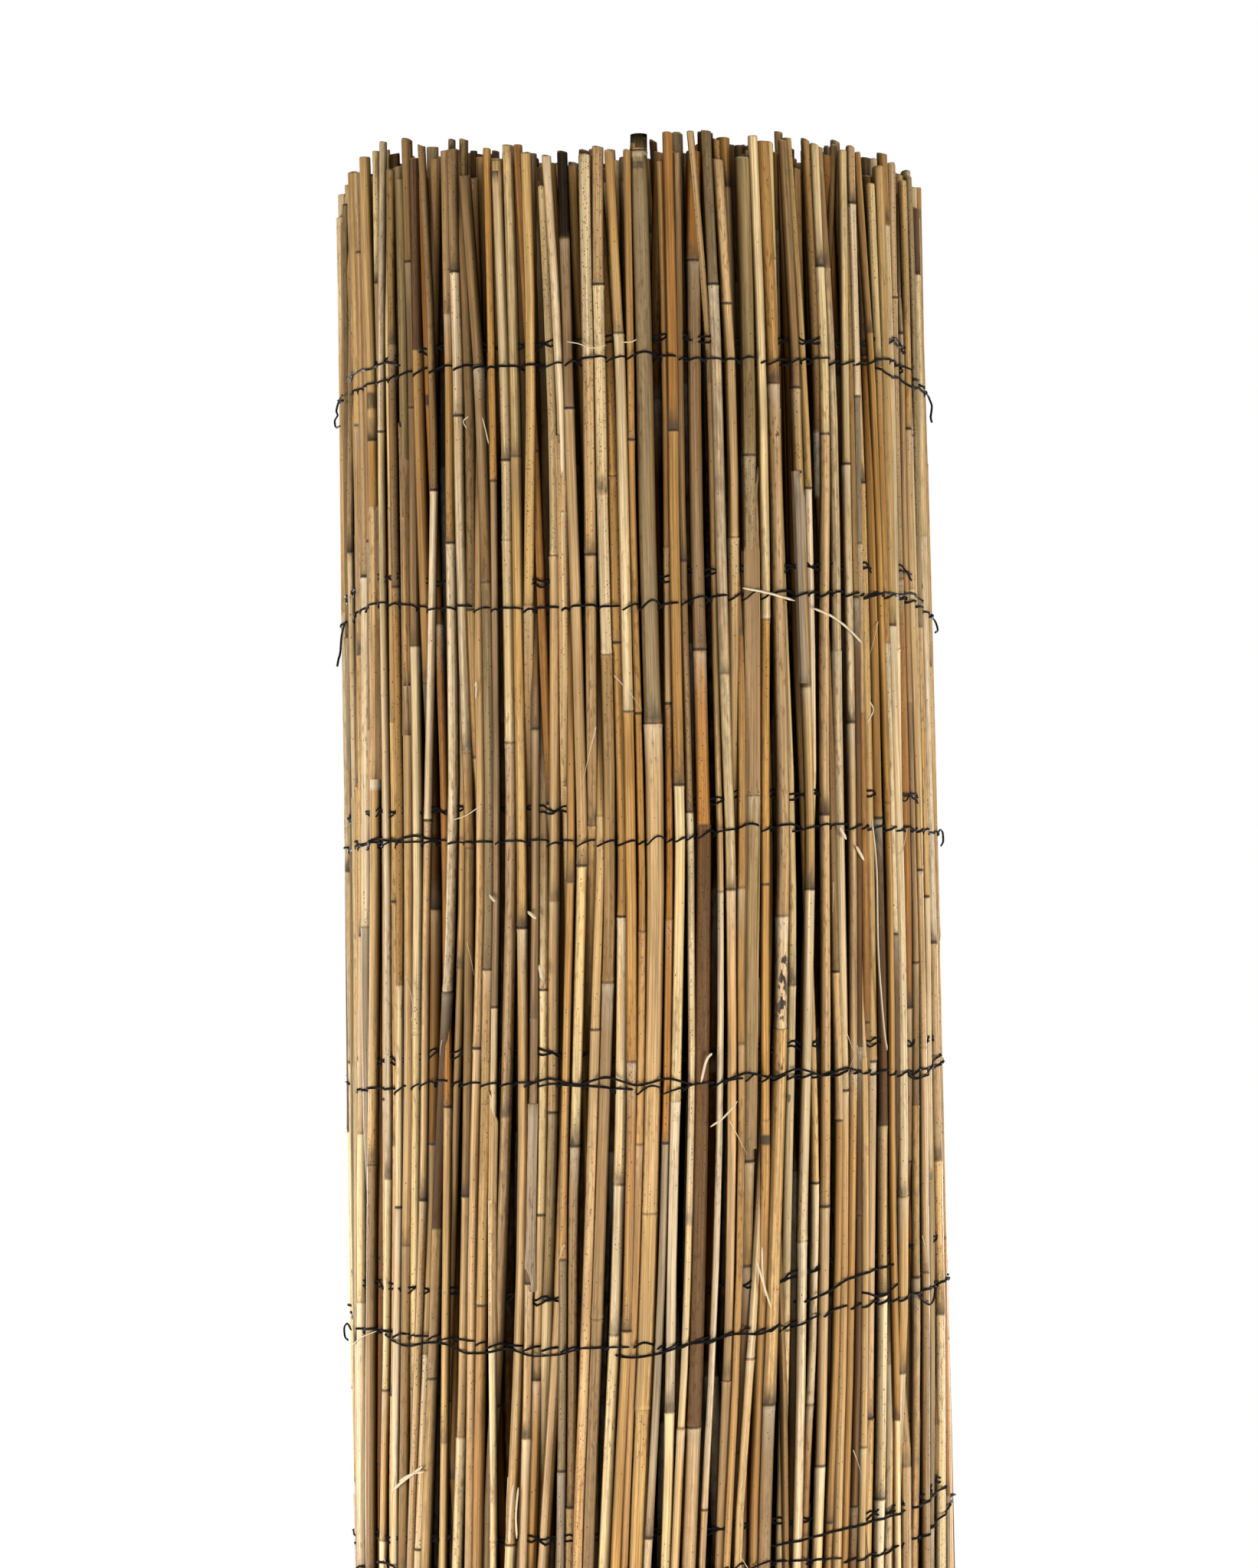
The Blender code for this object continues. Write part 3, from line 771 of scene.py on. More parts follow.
@dataclass
class Mat:
    """The canes of the wound mat, turn by turn."""

    spiral: Spiral
    seed: int = 11
    side_spacing: float = 0.0056
    behind_spacing: float = 0.0105
    front_spacing: float = 0.0125
    front_bearings: tuple[float, float] = (-80.0, 75.0)
    front_gaps_mm: tuple[float, float] = (0.3, 2.0)
    front_widths_mm: tuple[tuple[float, float], ...] = ((3.2, 4.2), (4.0, 5.0), (4.4, 5.8))
    drawn_widths_mm: tuple[tuple[float, float], ...] = ((2.8, 4.2), (3.8, 5.0), (4.6, 6.4))
    thin_gap_mm: float = 2.2
    edge_bearing: float = 62.0
    edge_set_back_mm: float = 0.9
    swapped_share: float = 0.50
    passes: int = 90
    neighbours: int = 10
    touching: float = 0.97
    behind_depth: float = 0.0040
    hidden_depth: float = 0.0040
    inner_spacing: float = 0.0062
    ragged_top: float = 0.018
    ragged_foot: float = 0.006
    front: list[Cane] = field(default_factory=list)
    sides: list[Cane] = field(default_factory=list)
    behind: list[Cane] = field(default_factory=list)
    second: list[Cane] = field(default_factory=list)
    inner: list[Cane] = field(default_factory=list)

    def lay_out(self) -> None:
        """Places every cane of the mat and moves those of the outer turn apart."""
        chance = random.Random(self.seed)
        self.front = self.front_canes(chance)
        self.mark_front()
        self.fill_below()
        self.sides = self.side_canes(chance)
        self.behind = self.behind_canes(chance)
        self.move_apart(self.front + self.sides + self.behind)
        self.second = self.turn_canes(chance, 2.0 * math.pi, 4.0 * math.pi, Detail.SECOND)
        self.inner = self.turn_canes(chance, 4.0 * math.pi, self.spiral.wound_length, Detail.ENDS)

    def mark_front(self) -> None:
        """Puts the marks that show on the front on the canes nearest to them."""
        for bearing, low, high, name, strength in SEEN_MARKS:
            cane = nearest_cane(self.front, self.spiral.wound_at(bearing), (low + high) / 2.0)
            cane.patches.append((low, high, TubeMesh.MARKS.index(name), strength))

    def twist(self, heights: np.ndarray) -> np.ndarray:
        """How far the mat twists, in radians, against its bearing at 1.5 m."""
        return np.radians(at_heights(TWIST, heights))

    def skyline(self, wound: float) -> float:
        """The height of the top outline over a wound angle of the outer turn."""
        bearing = self.spiral.bearing_at(wound)
        return 1.7 + float(at_heights(SKYLINE, np.array([bearing]))[0]) * MM

    def fill_below(self) -> None:
        """Spreads the canes of the front evenly below the heights that the picture shows."""
        order = sorted(self.front, key=lambda cane: float(np.interp(1.15, LEVELS, cane.wound)))
        starts = np.array([float(np.interp(1.15, LEVELS, cane.wound)) for cane in order])
        radii = np.array([cane.radius for cane in order])
        reach = np.cumsum(2.0 * radii) - radii
        even = starts[0] + (starts[-1] - starts[0]) * (reach - reach[0]) / (reach[-1] - reach[0])
        share = 0.85 * np.clip((1.14 - LEVELS) / 0.40, 0.0, 1.0)
        for cane, start, aim in zip(order, starts, even):
            cane.wound = cane.wound + (aim - start) * share

    def internodes(self, chance: random.Random, foot: float, top: float) -> list[float]:
        """Heights of the nodes of a cane.

        Args:
            chance: The source of their spacing.
            foot: The height where they end.
            top: The height where they start.

        Returns:
            The heights, from the top down.
        """
        nodes = []
        height = top - chance.uniform(0.02, 0.20)
        while height > foot + 0.02:
            nodes.append(height)
            height -= chance.choice((chance.uniform(0.06, 0.12), chance.uniform(0.12, 0.26)))
        return nodes

    def wander(self, chance: random.Random, reach: float) -> np.ndarray:
        """A cane's sideways steps from row to row of wire, in radians.

        Args:
            chance: The source of the steps.
            reach: The longest step, in metres.

        Returns:
            The steps at every level.
        """
        rows = np.linspace(0.0, 1.8, 13)
        steps = [chance.uniform(-reach, reach) / self.spiral.radius for _ in rows]
        return smoothed(np.interp(LEVELS, rows, steps), 1)

    def spread(self, width_mm: float) -> float:
        """The degrees of bearing that a width takes up on the outer turn."""
        return math.degrees(width_mm * MM / self.spiral.radius)

    def left_edge(self, seen: FrontCane) -> float:
        """The bearing of the left edge of a cane of the front."""
        return seen.bearing - self.spread(seen.thickness_mm) / 2.0

    def front_canes(self, chance: random.Random) -> list[Cane]:
        """The canes of the outer turn on the front, from left to right.

        Args:
            chance: The source of all canes that aren't listed.

        Returns:
            The listed canes, and between them drawn ones. In some places one cane goes behind the others and
            another comes out instead.
        """
        listed = sorted(STANDOUT_CANES, key=lambda cane: cane.bearing)
        bearing, last = self.front_bearings
        made = []
        while bearing < last:
            width = drawn_width(chance, self.front_widths_mm)
            gap = self.spread(chance.uniform(*self.front_gaps_mm))
            half = self.spread(width) / 2.0
            if listed and bearing + half * 2.0 > self.left_edge(listed[0]):
                cane = listed.pop(0)
                left = self.left_edge(cane)
                if left - bearing > self.spread(self.thin_gap_mm):
                    thin = FrontCane((left + bearing) / 2.0, chance.uniform(3.0, 3.8), "", 1.0)
                    made.append(self.front_cane(thin, chance))
                made.append(self.front_cane(cane, chance))
                bearing = cane.bearing + self.spread(cane.thickness_mm) / 2.0 + gap
                continue
            place = bearing + half
            set_back = self.edge_set_back_mm if abs(place) > self.edge_bearing else 0.0
            set_back += chance.choice((0.0, 0.0, 0.5, 1.0, 1.8, 2.5))
            if chance.random() < self.swapped_share:
                swap = chance.uniform(1.28, 1.72)
                upper = FrontCane(place, width, "", set_back, (1.80, swap - 0.02))
                other = chance.uniform(3.2, 4.8)
                lower = FrontCane(place + chance.uniform(-0.6, 0.6), other, "", set_back, (swap + 0.02, 1.20))
                made += [self.front_cane(upper, chance), self.front_cane(lower, chance)]
            else:
                made.append(self.front_cane(FrontCane(place, width, "", set_back), chance))
            bearing += half * 2.0 + gap
        return made

    def front_cane(self, seen: FrontCane, chance: random.Random) -> Cane:
        """A cane of the front, carried on to both ends of the mat.

        Args:
            seen: What is known of it.
            chance: The source of the rest.

        Returns:
            The whole cane.
        """
        high, low = seen.seen
        wound = self.spiral.wound_at(seen.bearing) + self.twist(LEVELS)
        lean = chance.choice((0.8, 1.3, 2.8)) * chance.uniform(-1.0, 1.0)
        lean = lean * np.clip((LEVELS - 1.5) / 0.3, -1.2, 1.0)
        splay = chance.uniform(-2.6, 2.6) * np.clip((LEVELS - 1.68) / 0.12, 0.0, 1.0)
        wound += np.radians(lean + splay) + self.wander(chance, 0.0034)
        radius = seen.thickness_mm * MM / 2.0
        above = np.clip((LEVELS - high) / 0.05, 0.0, 1.0)
        keep = chance.choice((0.0, 0.0, 0.3, 0.7))
        outside = above + np.clip((low - LEVELS) / 0.05, 0.0, 1.0)
        outside = outside * np.clip((LEVELS - 1.02) / 0.14, keep, 1.0)
        if low <= 1.2:
            drift = np.clip((1.15 - LEVELS) / 0.25, 0.0, 1.0) * chance.choice((0.0, 0.0, 0.4, 0.8))
            outside = above + drift
        shallow = np.abs(self.wander(chance, 0.0012)) * self.spiral.radius
        depth = radius + seen.set_back_mm * MM + outside * self.hidden_depth + shallow
        foot = chance.uniform(0.1, 1.0) * self.ragged_foot
        top = self.skyline(float(wound[-1])) - chance.choice((-3.0, 0.0, 2.0, 5.0, 9.0, 13.0)) * MM
        known = min(seen.nodes, default=top)
        nodes = list(seen.nodes)
        nodes += [node for node in self.internodes(chance, foot, known) if node < high + 0.02]
        tones = [TONE_LETTERS[letter] for letter in seen.tones[: len(nodes) + 1]]
        while len(tones) < len(nodes) + 1:
            again = tones and chance.random() < 0.40
            tones.append(tones[-1] if again else TONE_LETTERS[chance.choice(COMMON_TONES)])
        return Cane(
            radius=radius,
            wound=wound,
            depth=depth,
            foot=foot,
            top=top,
            nodes=nodes,
            tones=tones,
            detail=Detail.FULL,
            sides=12 if seen.thickness_mm > 5.5 else 9 if high - low > 0.25 else 8,
            seed=chance.random(),
            fine_above=max(1.15, low - 0.01),
            stiffness=np.where(outside > 0.3, 0.6, 5.0),
            set_back=seen.set_back_mm * MM,
        )

    def drawn_cane(
        self, chance: random.Random, wound: float, depth: float, detail: Detail, tones: str
    ) -> Cane:
        """A cane drawn at random.

        Args:
            chance: The source of its shape and looks.
            wound: Its wound angle at 1.5 m.
            depth: How far its outside is set back.
            detail: How closely it is modelled.
            tones: The letters of the tones to draw from.

        Returns:
            The cane.
        """
        radius = drawn_width(chance, self.drawn_widths_mm) * MM / 2.0
        phase = chance.uniform(0.0, 6.28)
        share = chance.uniform(-0.6, 1.0) if detail is Detail.BEHIND else 1.0
        run = wound + self.twist(LEVELS) * share + self.wander(chance, WANDER[detail])
        splay = chance.uniform(-2.4, 2.4) * math.radians(1.0)
        near_top = np.clip((LEVELS - 1.66) / 0.14, 0.0, 1.0)
        near_foot = np.clip((0.14 - LEVELS) / 0.14, 0.0, 1.0)
        run = run + splay * (near_top - near_foot)
        foot = chance.uniform(0.1, 1.0) * self.ragged_foot
        top = min(self.spiral.height + 0.001, self.skyline(wound) + 0.004) - chance.random() * self.ragged_top
        nodes = self.internodes(chance, foot, top) if detail is not Detail.ENDS else []
        letters = [chance.choice(tones) for _ in range(len(nodes) + 1)]
        for place in range(1, len(letters)):
            if chance.random() < 0.45:
                letters[place] = letters[place - 1]
        return Cane(
            radius=radius,
            wound=run,
            depth=radius + depth + 0.0006 * np.sin(LEVELS * 11.0 + phase * 2.0),
            foot=foot,
            top=top,
            nodes=nodes,
            tones=[TONE_LETTERS[letter] for letter in letters],
            detail=detail,
            sides=SIDES[detail],
            seed=chance.random(),
            butt_up=chance.random() < 0.5,
        )

    def side_canes(self, chance: random.Random) -> list[Cane]:
        """The canes of the outer turn at the sides and back, which stand out as those of the front do.

        Args:
            chance: The source of the canes.

        Returns:
            The canes, in order round the roll.
        """
        first, last = (self.spiral.wound_at(bearing) for bearing in self.front_bearings)
        made = []
        for start, end in ((0.004, first - 0.01), (last + 0.02, 2.0 * math.pi - 0.02)):
            wound = start
            while wound < end:
                depth = chance.choice((0.0, 0.0, 0.0, 0.0, 0.0008, 0.0025, 0.0030))
                made.append(self.drawn_cane(chance, wound, depth, Detail.PLAIN, COMMON_TONES))
                wound += chance.uniform(0.7, 1.3) * self.side_spacing / self.spiral.radius
        return made

    def behind_canes(self, chance: random.Random) -> list[Cane]:
        """The canes of the outer turn that lie behind the others and show in the gaps.

        Args:
            chance: The source of the canes.

        Returns:
            The canes, in order round the roll.
        """
        made = []
        wound = 0.02
        while wound < 2.0 * math.pi - 0.03:
            depth = self.behind_depth + chance.uniform(-0.0012, 0.0010)
            cane = self.drawn_cane(chance, wound, depth, Detail.BEHIND, HIDDEN_TONES)
            in_front = abs(wound - self.spiral.wound_at(0.0)) < 1.3
            if in_front:
                low = np.clip((1.36 - LEVELS) / 0.12, 0.0, 1.0)
                cane.depth = cane.depth + 0.0012 - 0.0024 * low
            made.append(cane)
            spacing = self.front_spacing if in_front else self.behind_spacing
            wound += chance.uniform(0.7, 1.3) * spacing / self.spiral.radius
        return made

    def turn_canes(self, chance: random.Random, start: float, end: float, detail: Detail) -> list[Cane]:
        """The canes of the turns under the outer one.

        Args:
            chance: The source of the canes.
            start: The wound angle of the first.
            end: The wound angle where they end.
            detail: How closely they are modelled.

        Returns:
            The canes, from the outside in.
        """
        made = []
        wound = start
        while wound < end:
            depth = chance.uniform(0.0, 0.0022)
            cane = self.drawn_cane(chance, wound, depth, detail, HIDDEN_TONES)
            cane.turn = 1 if wound < 4.0 * math.pi else 2
            made.append(cane)
            radius = self.spiral.radius - self.spiral.pitch * wound / (2.0 * math.pi)
            wound += chance.uniform(0.75, 1.25) * self.inner_spacing / radius
        return made

    def move_apart(self, canes: list[Cane]) -> None:
        """Moves the canes of a turn off one another, most of all those that aren't seen.

        Args:
            canes: The canes, which are changed in place.
        """
        canes.sort(key=lambda cane: float(cane.wound.mean()))
        scale = self.spiral.radius - 0.004
        run = np.array([cane.wound for cane in canes]) * scale
        depth = np.array([cane.depth for cane in canes])
        radius = np.array([[cane.radius] * len(LEVELS) for cane in canes])
        give = 1.0 / np.array([cane.stiffness for cane in canes])
        first_run = run.copy()
        first_depth = depth.copy()
        for turn in range(self.passes):
            for step in range(1, self.neighbours + 1):
                ahead = run[step:] - run[:-step]
                under = depth[step:] - depth[:-step]
                apart = np.hypot(ahead, under)
                need = (radius[step:] + radius[:-step]) * self.touching
                over = np.maximum(0.0, need - apart)
                apart = np.maximum(apart, 1e-6)
                share = give[:-step] / (give[:-step] + give[step:])
                run[:-step] -= over * ahead / apart * share * 0.5
                run[step:] += over * ahead / apart * (1.0 - share) * 0.5
                depth[:-step] -= over * under / apart * share * 0.5
                depth[step:] += over * under / apart * (1.0 - share) * 0.5
            depth = np.clip(depth, np.minimum(first_depth, radius), self.spiral.mat + 0.0005)
            depth = np.maximum(depth, radius - 0.0002)
            if turn % 15 == 14:
                run = first_run + smoothed(run - first_run, 1)
                depth = first_depth + smoothed(depth - first_depth, 1)
        for place, cane in enumerate(canes):
            cane.wound = run[place] / scale
            cane.depth = depth[place]

    def build(self, material: bpy.types.Material) -> list[bpy.types.Object]:
        """Makes the mat's pieces.

        Args:
            material: The finish of the canes.

        Returns:
            The pieces, the outermost first.
        """
        groups = (
            ("front_canes", self.front),
            ("side_canes", self.sides),
            ("canes_behind", self.behind),
            ("second_turn", self.second),
            ("inner_turns", self.inner),
        )
        made = []
        for name, canes in groups:
            mesh = TubeMesh(name)
            for cane in canes:
                mesh.add_tube(cane.rings(self.spiral), cane.sides)
            piece = mesh.build(material)
            LOG.info("%s: %d canes, %d triangles", name, len(canes), mesh.triangles())
            made.append(piece)
        return made


@dataclass
class WireRows:
    """The rows of twined wire round the outer turn, and what shows of each on the turn under it."""

    spiral: Spiral
    canes: list[Cane]
    behind: list[Cane]
    packed: dict[str, bpy.types.Object]
    seed: int = 7
    rows: int = 17
    pitch: float = 0.100
    wire_radius: float = 0.00050
    step: float = 0.0009
    sides: int = 4
    knots: int = 18
    first_knot: float = -80.0
    section_gap: float = 1.5
    bare_depth: float = 0.0075
    proud_depth: float = 0.0034
    under_depth: float = 0.0060
    behind_from: float = 0.0018

    def rises(self) -> list[np.ndarray]:
        """The heights of each row above its level, read off its packed wire.

        Returns:
            For each row, the lowest first, its heights at the knots.
        """
        made = []
        for number in range(1, self.rows + 1):
            bearings, heights = self.sections(self.packed[f"binding_wire_{number:02d}"])
            above = heights - self.pitch * number
            made.append(np.linalg.lstsq(self.weights(bearings), above, rcond=None)[0])
        return made

    def sections(self, wire: bpy.types.Object) -> tuple[np.ndarray, np.ndarray]:
        """The middles of a packed wire's sections.

        Args:
            wire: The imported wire.

        Returns:
            The bearings of the middles and their heights.
        """
        points = np.array([list(vertex.co) for vertex in wire.data.vertices])
        x, y = self.spiral.axis
        bearings = np.degrees(np.arctan2(points[:, 1] - y, points[:, 0] - x)) - FRONT_ANGLE
        order = np.argsort(bearings)
        ends = np.where(np.diff(bearings[order]) > self.section_gap)[0] + 1
        groups = np.split(order, ends)
        heights = [(points[group, 2].min() + points[group, 2].max()) / 2.0 for group in groups]
        return np.array([bearings[group].mean() for group in groups]), np.array(heights)

    def weights(self, bearings: np.ndarray) -> np.ndarray:
        """How much each knot of a row counts at a bearing.

        Args:
            bearings: Bearings in degrees.

        Returns:
            One row of weights for each bearing, eased from knot to knot.
        """
        place = ((bearings - self.first_knot) % 360.0) * self.knots / 360.0
        before = np.floor(place).astype(int) % self.knots
        share = eased(place - np.floor(place))
        made = np.zeros((len(bearings), self.knots))
        every = np.arange(len(bearings))
        made[every, before] = 1.0 - share
        made[every, (before + 1) % self.knots] = share
        return made

    def rise_at(self, values: np.ndarray, wound: np.ndarray) -> np.ndarray:
        """The height of a row above its level, from its heights at the knots."""
        return self.weights(np.degrees(self.spiral.free_edge + wound) - FRONT_ANGLE) @ values

    def outline(
        self, wound: np.ndarray, height: float
    ) -> tuple[np.ndarray, list[tuple[float, float, float]]]:
        """How far the canes stand out under a row.

        Args:
            wound: Wound angles along the row.
            height: Height of the row.

        Returns:
            The height of the canes over the mat's outer face, less than nothing under it, and the canes that
            stand out as wound angle, radius and depth, in order round the roll.
        """
        out = np.full(len(wound), -self.bare_depth)
        proud = []
        for cane in self.canes:
            if not cane.foot < height < cane.top:
                continue
            place = float(np.interp(height, LEVELS, cane.wound))
            depth = float(np.interp(height, LEVELS, cane.depth))
            radius = cane.radius * float(cane.taper(np.array([height]))[0])
            away = (wound - place) * self.spiral.radius
            near = np.abs(away) < radius
            out[near] = np.maximum(out[near], np.sqrt(radius**2 - away[near] ** 2) - depth)
            if depth - radius < self.proud_depth:
                proud.append((place, radius, depth))
        proud.sort()
        return out, proud

    def behind_outline(self, wound: np.ndarray, height: float) -> np.ndarray:
        """How far the canes that lie deep stand out, bridged as a wire runs over them.

        Args:
            wound: Wound angles along the row.
            height: Height of the row.

        Returns:
            Their height over the mat's outer face, less than nothing under it.
        """
        out = np.full(len(wound), -self.under_depth)
        for cane in self.behind + self.canes:
            depth = float(np.interp(height, LEVELS, cane.depth))
            if depth - cane.radius < self.behind_from:
                continue
            away = (wound - float(np.interp(height, LEVELS, cane.wound))) * self.spiral.radius
            near = np.abs(away) < cane.radius
            out[near] = np.maximum(out[near], np.sqrt(cane.radius**2 - away[near] ** 2) - depth)
        return self.bridged(out, 0.012)

    def bridged(self, out: np.ndarray, reach: float) -> np.ndarray:
        """The outline with its narrow dips bridged, as a taut wire runs over it.

        Args:
            out: The outline, one value a step.
            reach: Radius of the ball that is rolled along it.

        Returns:
            The bridged outline.
        """
        half = 9
        offsets = np.arange(-half, half + 1)
        drop = (offsets * self.step) ** 2 / (2.0 * reach)
        padded = np.pad(out, half, mode="edge")
        grown = np.max([padded[half + o : half + o + len(out)] - d for o, d in zip(offsets, drop)], axis=0)
        padded = np.pad(grown, half, mode="edge")
        return np.min([padded[half + o : half + o + len(out)] + d for o, d in zip(offsets, drop)], axis=0)

    def gaps(
        self, proud: list[tuple[float, float, float]], chance: random.Random
    ) -> list[tuple[float, float]]:
        """The gaps where the strands cross, with a group of canes between each two.

        Args:
            proud: The canes that stand out, as wound angle, radius and depth.
            chance: The source of which gaps are taken.

        Returns:
            The wound angle and the width of each gap.
        """
        crossings = []
        held = 0
        for before, after in zip(proud, proud[1:]):
            left = before[0] + before[1] / self.spiral.radius
            right = after[0] - after[1] / self.spiral.radius
            width = (right - left) * self.spiral.radius
            held += 1
            if (width > 0.0005 and chance.random() < 0.85) or held >= 2:
                crossings.append(((left + right) / 2.0, max(width, 0.0004)))
                held = 0
        return crossings

    def over_wide(self, proud: list[tuple[float, float, float]], start: float, end: float) -> float:
        """How much wider than a common cane the widest one between two wound angles is."""
        widths = [2.0 * radius for place, radius, _ in proud if start < place < end]
        return max(0.0, max(widths, default=0.0) - 0.0055) * 2.2

    def strands(self, level: float, values: np.ndarray, number: int) -> list[np.ndarray]:
        """The paths of the two strands of a row.

        Args:
            level: The row's level.
            values: The row's heights above its level, at the knots.
            number: The row's number, from the lowest.

        Returns:
            The points of each strand.
        """
        chance = random.Random(self.seed * 100 + number)
        last = 2.0 * math.pi - 0.004
        wound = np.arange(0.002, last, self.step / self.spiral.radius)
        out, proud = self.outline(wound, level)
        taut = self.bridged(out, 0.010)
        crossings = self.gaps(proud, chance)
        marks = [wound[0] - 0.01] + [c[0] for c in crossings] + [wound[-1] + 0.01]
        front_is_first = np.zeros(len(wound), dtype=bool)
        lift = np.zeros(len(wound))
        dip = np.zeros(len(wound))
        drawn = np.zeros(len(wound))
        for place, (start, end) in enumerate(zip(marks, marks[1:])):
            inside = (wound >= start) & (wound < end)
            front_is_first[inside] = place % 2 == 0
            part = (wound[inside] - start) / (end - start)
            width = (end - start) * self.spiral.radius
            bow = self.over_wide(proud, start, end) * 0.45
            slope = min(chance.uniform(0.7, 1.7) * MM, width * 0.30)
            twisted = place > 0 and crossings[place - 1][1] > 0.0012 and chance.random() < 0.55
            begin = 0.9 if twisted else -1.0
            rising = begin + (1.0 - begin) * np.sin(part * math.pi / 2.0)
            lift[inside] = np.sin(part * math.pi) * bow + slope * rising
        for place, width in crossings:
            away = (wound - place) * self.spiral.radius
            dip = np.maximum(dip, min(0.0016, 0.0005 + width * 0.30) * np.exp(-((away / 0.0013) ** 2)))
            drawn = np.maximum(drawn, min(0.0042, width * 2.4) * np.exp(-((away / 0.0022) ** 2)))
        front_depth = np.maximum(taut - dip, out) + self.wire_radius * 1.15
        back_depth = drawn - 0.0062
        paths = []
        for first in (True, False):
            is_front = (front_is_first == first).astype(float)
            blend = eased_over(is_front, 2)
            depth = -(back_depth + (front_depth - back_depth) * blend)
            rise = eased_over(self.rise_at(values, wound) + np.where(is_front > 0.5, lift, -0.8 * lift), 2)
            kept = (blend > 0.02) | (np.arange(len(wound)) % 4 == 0)
            paths.append(self.spiral.points(wound, depth, level + rise)[kept])
        return paths

    def inner_strands(self, level: float, values: np.ndarray, number: int) -> list[np.ndarray]:
        """The twined strands of a row on the turn under the outer one, which show through the gaps.

        Args:
            level: The row's level.
            values: The row's heights above its level, at the knots.
            number: The row's number, from the lowest.

        Returns:
            The points of each strand.
        """
        chance = random.Random(self.seed * 1000 + number)
        from_top = self.rows - number
        seen = from_top < len(INNER_ROW_LIFT_MM)
        raised = INNER_ROW_LIFT_MM[from_top] if seen else chance.uniform(8.0, 18.0)
        wound = np.arange(0.02, 2.0 * math.pi - 0.02, 0.0022 / self.spiral.radius)
        ripple = 0.8 * np.sin(wound * 47.0 + number) + 0.5 * np.sin(wound * 111.0 + 2.0 * number)
        twining = 1.3 * np.sin(wound * 38.0 + 0.8 * np.sin(wound * 17.0 + number))
        out = self.behind_outline(wound, level + raised * MM) + self.wire_radius * 1.2
        paths = []
        for side in (1.0, -1.0):
            z = level + self.rise_at(values, wound) + (raised + ripple + side * twining) * MM
            paths.append(self.spiral.points(wound, -out, z))
        return paths

    def build(self, material: bpy.types.Material) -> list[bpy.types.Object]:
        """Makes one piece for each row.

        Args:
            material: The finish of the wire.

        Returns:
            The pieces, the lowest row first.
        """
        made = []
        for row, values in enumerate(self.rises()):
            number = row + 1
            level = self.pitch * number
            mesh = TubeMesh(f"wire_row_{number:02d}")
            for path in self.strands(level, values, number):
                add_run(mesh, path, self.wire_radius, self.sides)
            for path in self.inner_strands(level, values, number):
                add_run(mesh, path, self.wire_radius * 0.9, self.sides)
            for tail in self.loose_ends(number, level, values) + self.slack_runs(number, level):
                add_run(mesh, tail, self.wire_radius, self.sides)
            piece = mesh.build(material)
            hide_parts(f"binding_wire_{number:02d}")
            LOG.info("%s: %d triangles", piece.name, mesh.triangles())
            made.append(piece)
        return made

    def slack_runs(self, number: int, level: float) -> list[np.ndarray]:
        """The runs of slack strand that lie over the canes beside a row.

        Args:
            number: The row's number, from the lowest.
            level: The row's level.

        Returns:
            The points of each run, which dives between the canes at both ends.
        """
        made = []
        for row, first, last, rises in SLACK_RUNS:
            if row != number:
                continue
            start, end = self.spiral.wound_at(first), self.spiral.wound_at(last)
            wound = np.arange(start, end, self.step / self.spiral.radius)
            place = np.linspace(0.0, len(rises) - 1.0, len(wound))
            rise = eased_over(np.interp(place, np.arange(len(rises)), np.array(rises)), 12) * MM
            out, _ = self.outline(wound, level + float(np.mean(rises)) * MM)
            to_end = np.minimum(wound - wound[0], wound[-1] - wound) * self.spiral.radius
            dive = 0.005 * np.exp(-((to_end / 0.002) ** 2))
            lying = self.bridged(out, 0.012) + self.wire_radius * 1.3 - dive
            made.append(self.spiral.points(wound, -lying, level + rise))
        return made

    def loose_ends(self, number: int, level: float, values: np.ndarray) -> list[np.ndarray]:
        """The loops and hooks of wire that stand off a row.

        Args:
            number: The row's number, from the lowest.
            level: The row's level.
            values: The row's heights above its level, at the knots.

        Returns:
            The points of each loop.
        """
        made = []
        for row, bearing, steps in LOOSE_WIRES:
            if row != number:
                continue
            along, out, up = (np.array([step[i] for step in steps]) * MM for i in range(3))
            place = self.spiral.wound_at(bearing)
            rise = float(self.rise_at(values, np.array([place]))[0])
            wound = place + along / self.spiral.radius
            made.append(rounded(self.spiral.points(wound, -out, level + rise + up), 6))
        return made


def rounded(points: np.ndarray, steps: int) -> np.ndarray:
    """A smooth path through points.

    Args:
        points: The points to pass through.
        steps: How many points are made between each two.

    Returns:
        The points of the path.
    """
    padded = np.vstack([2.0 * points[0] - points[1], points, 2.0 * points[-1] - points[-2]])
    made = []
    for place in range(1, len(padded) - 2):
        a, b, c, d = padded[place - 1 : place + 3]
        for step in range(steps):
            t = step / steps
            square = (2.0 * a - 5.0 * b + 4.0 * c - d) * t**2
            cube = (3.0 * b - a - 3.0 * c + d) * t**3
            made.append(0.5 * (2.0 * b + (c - a) * t + square + cube))
    made.append(points[-1])
    return np.array(made)


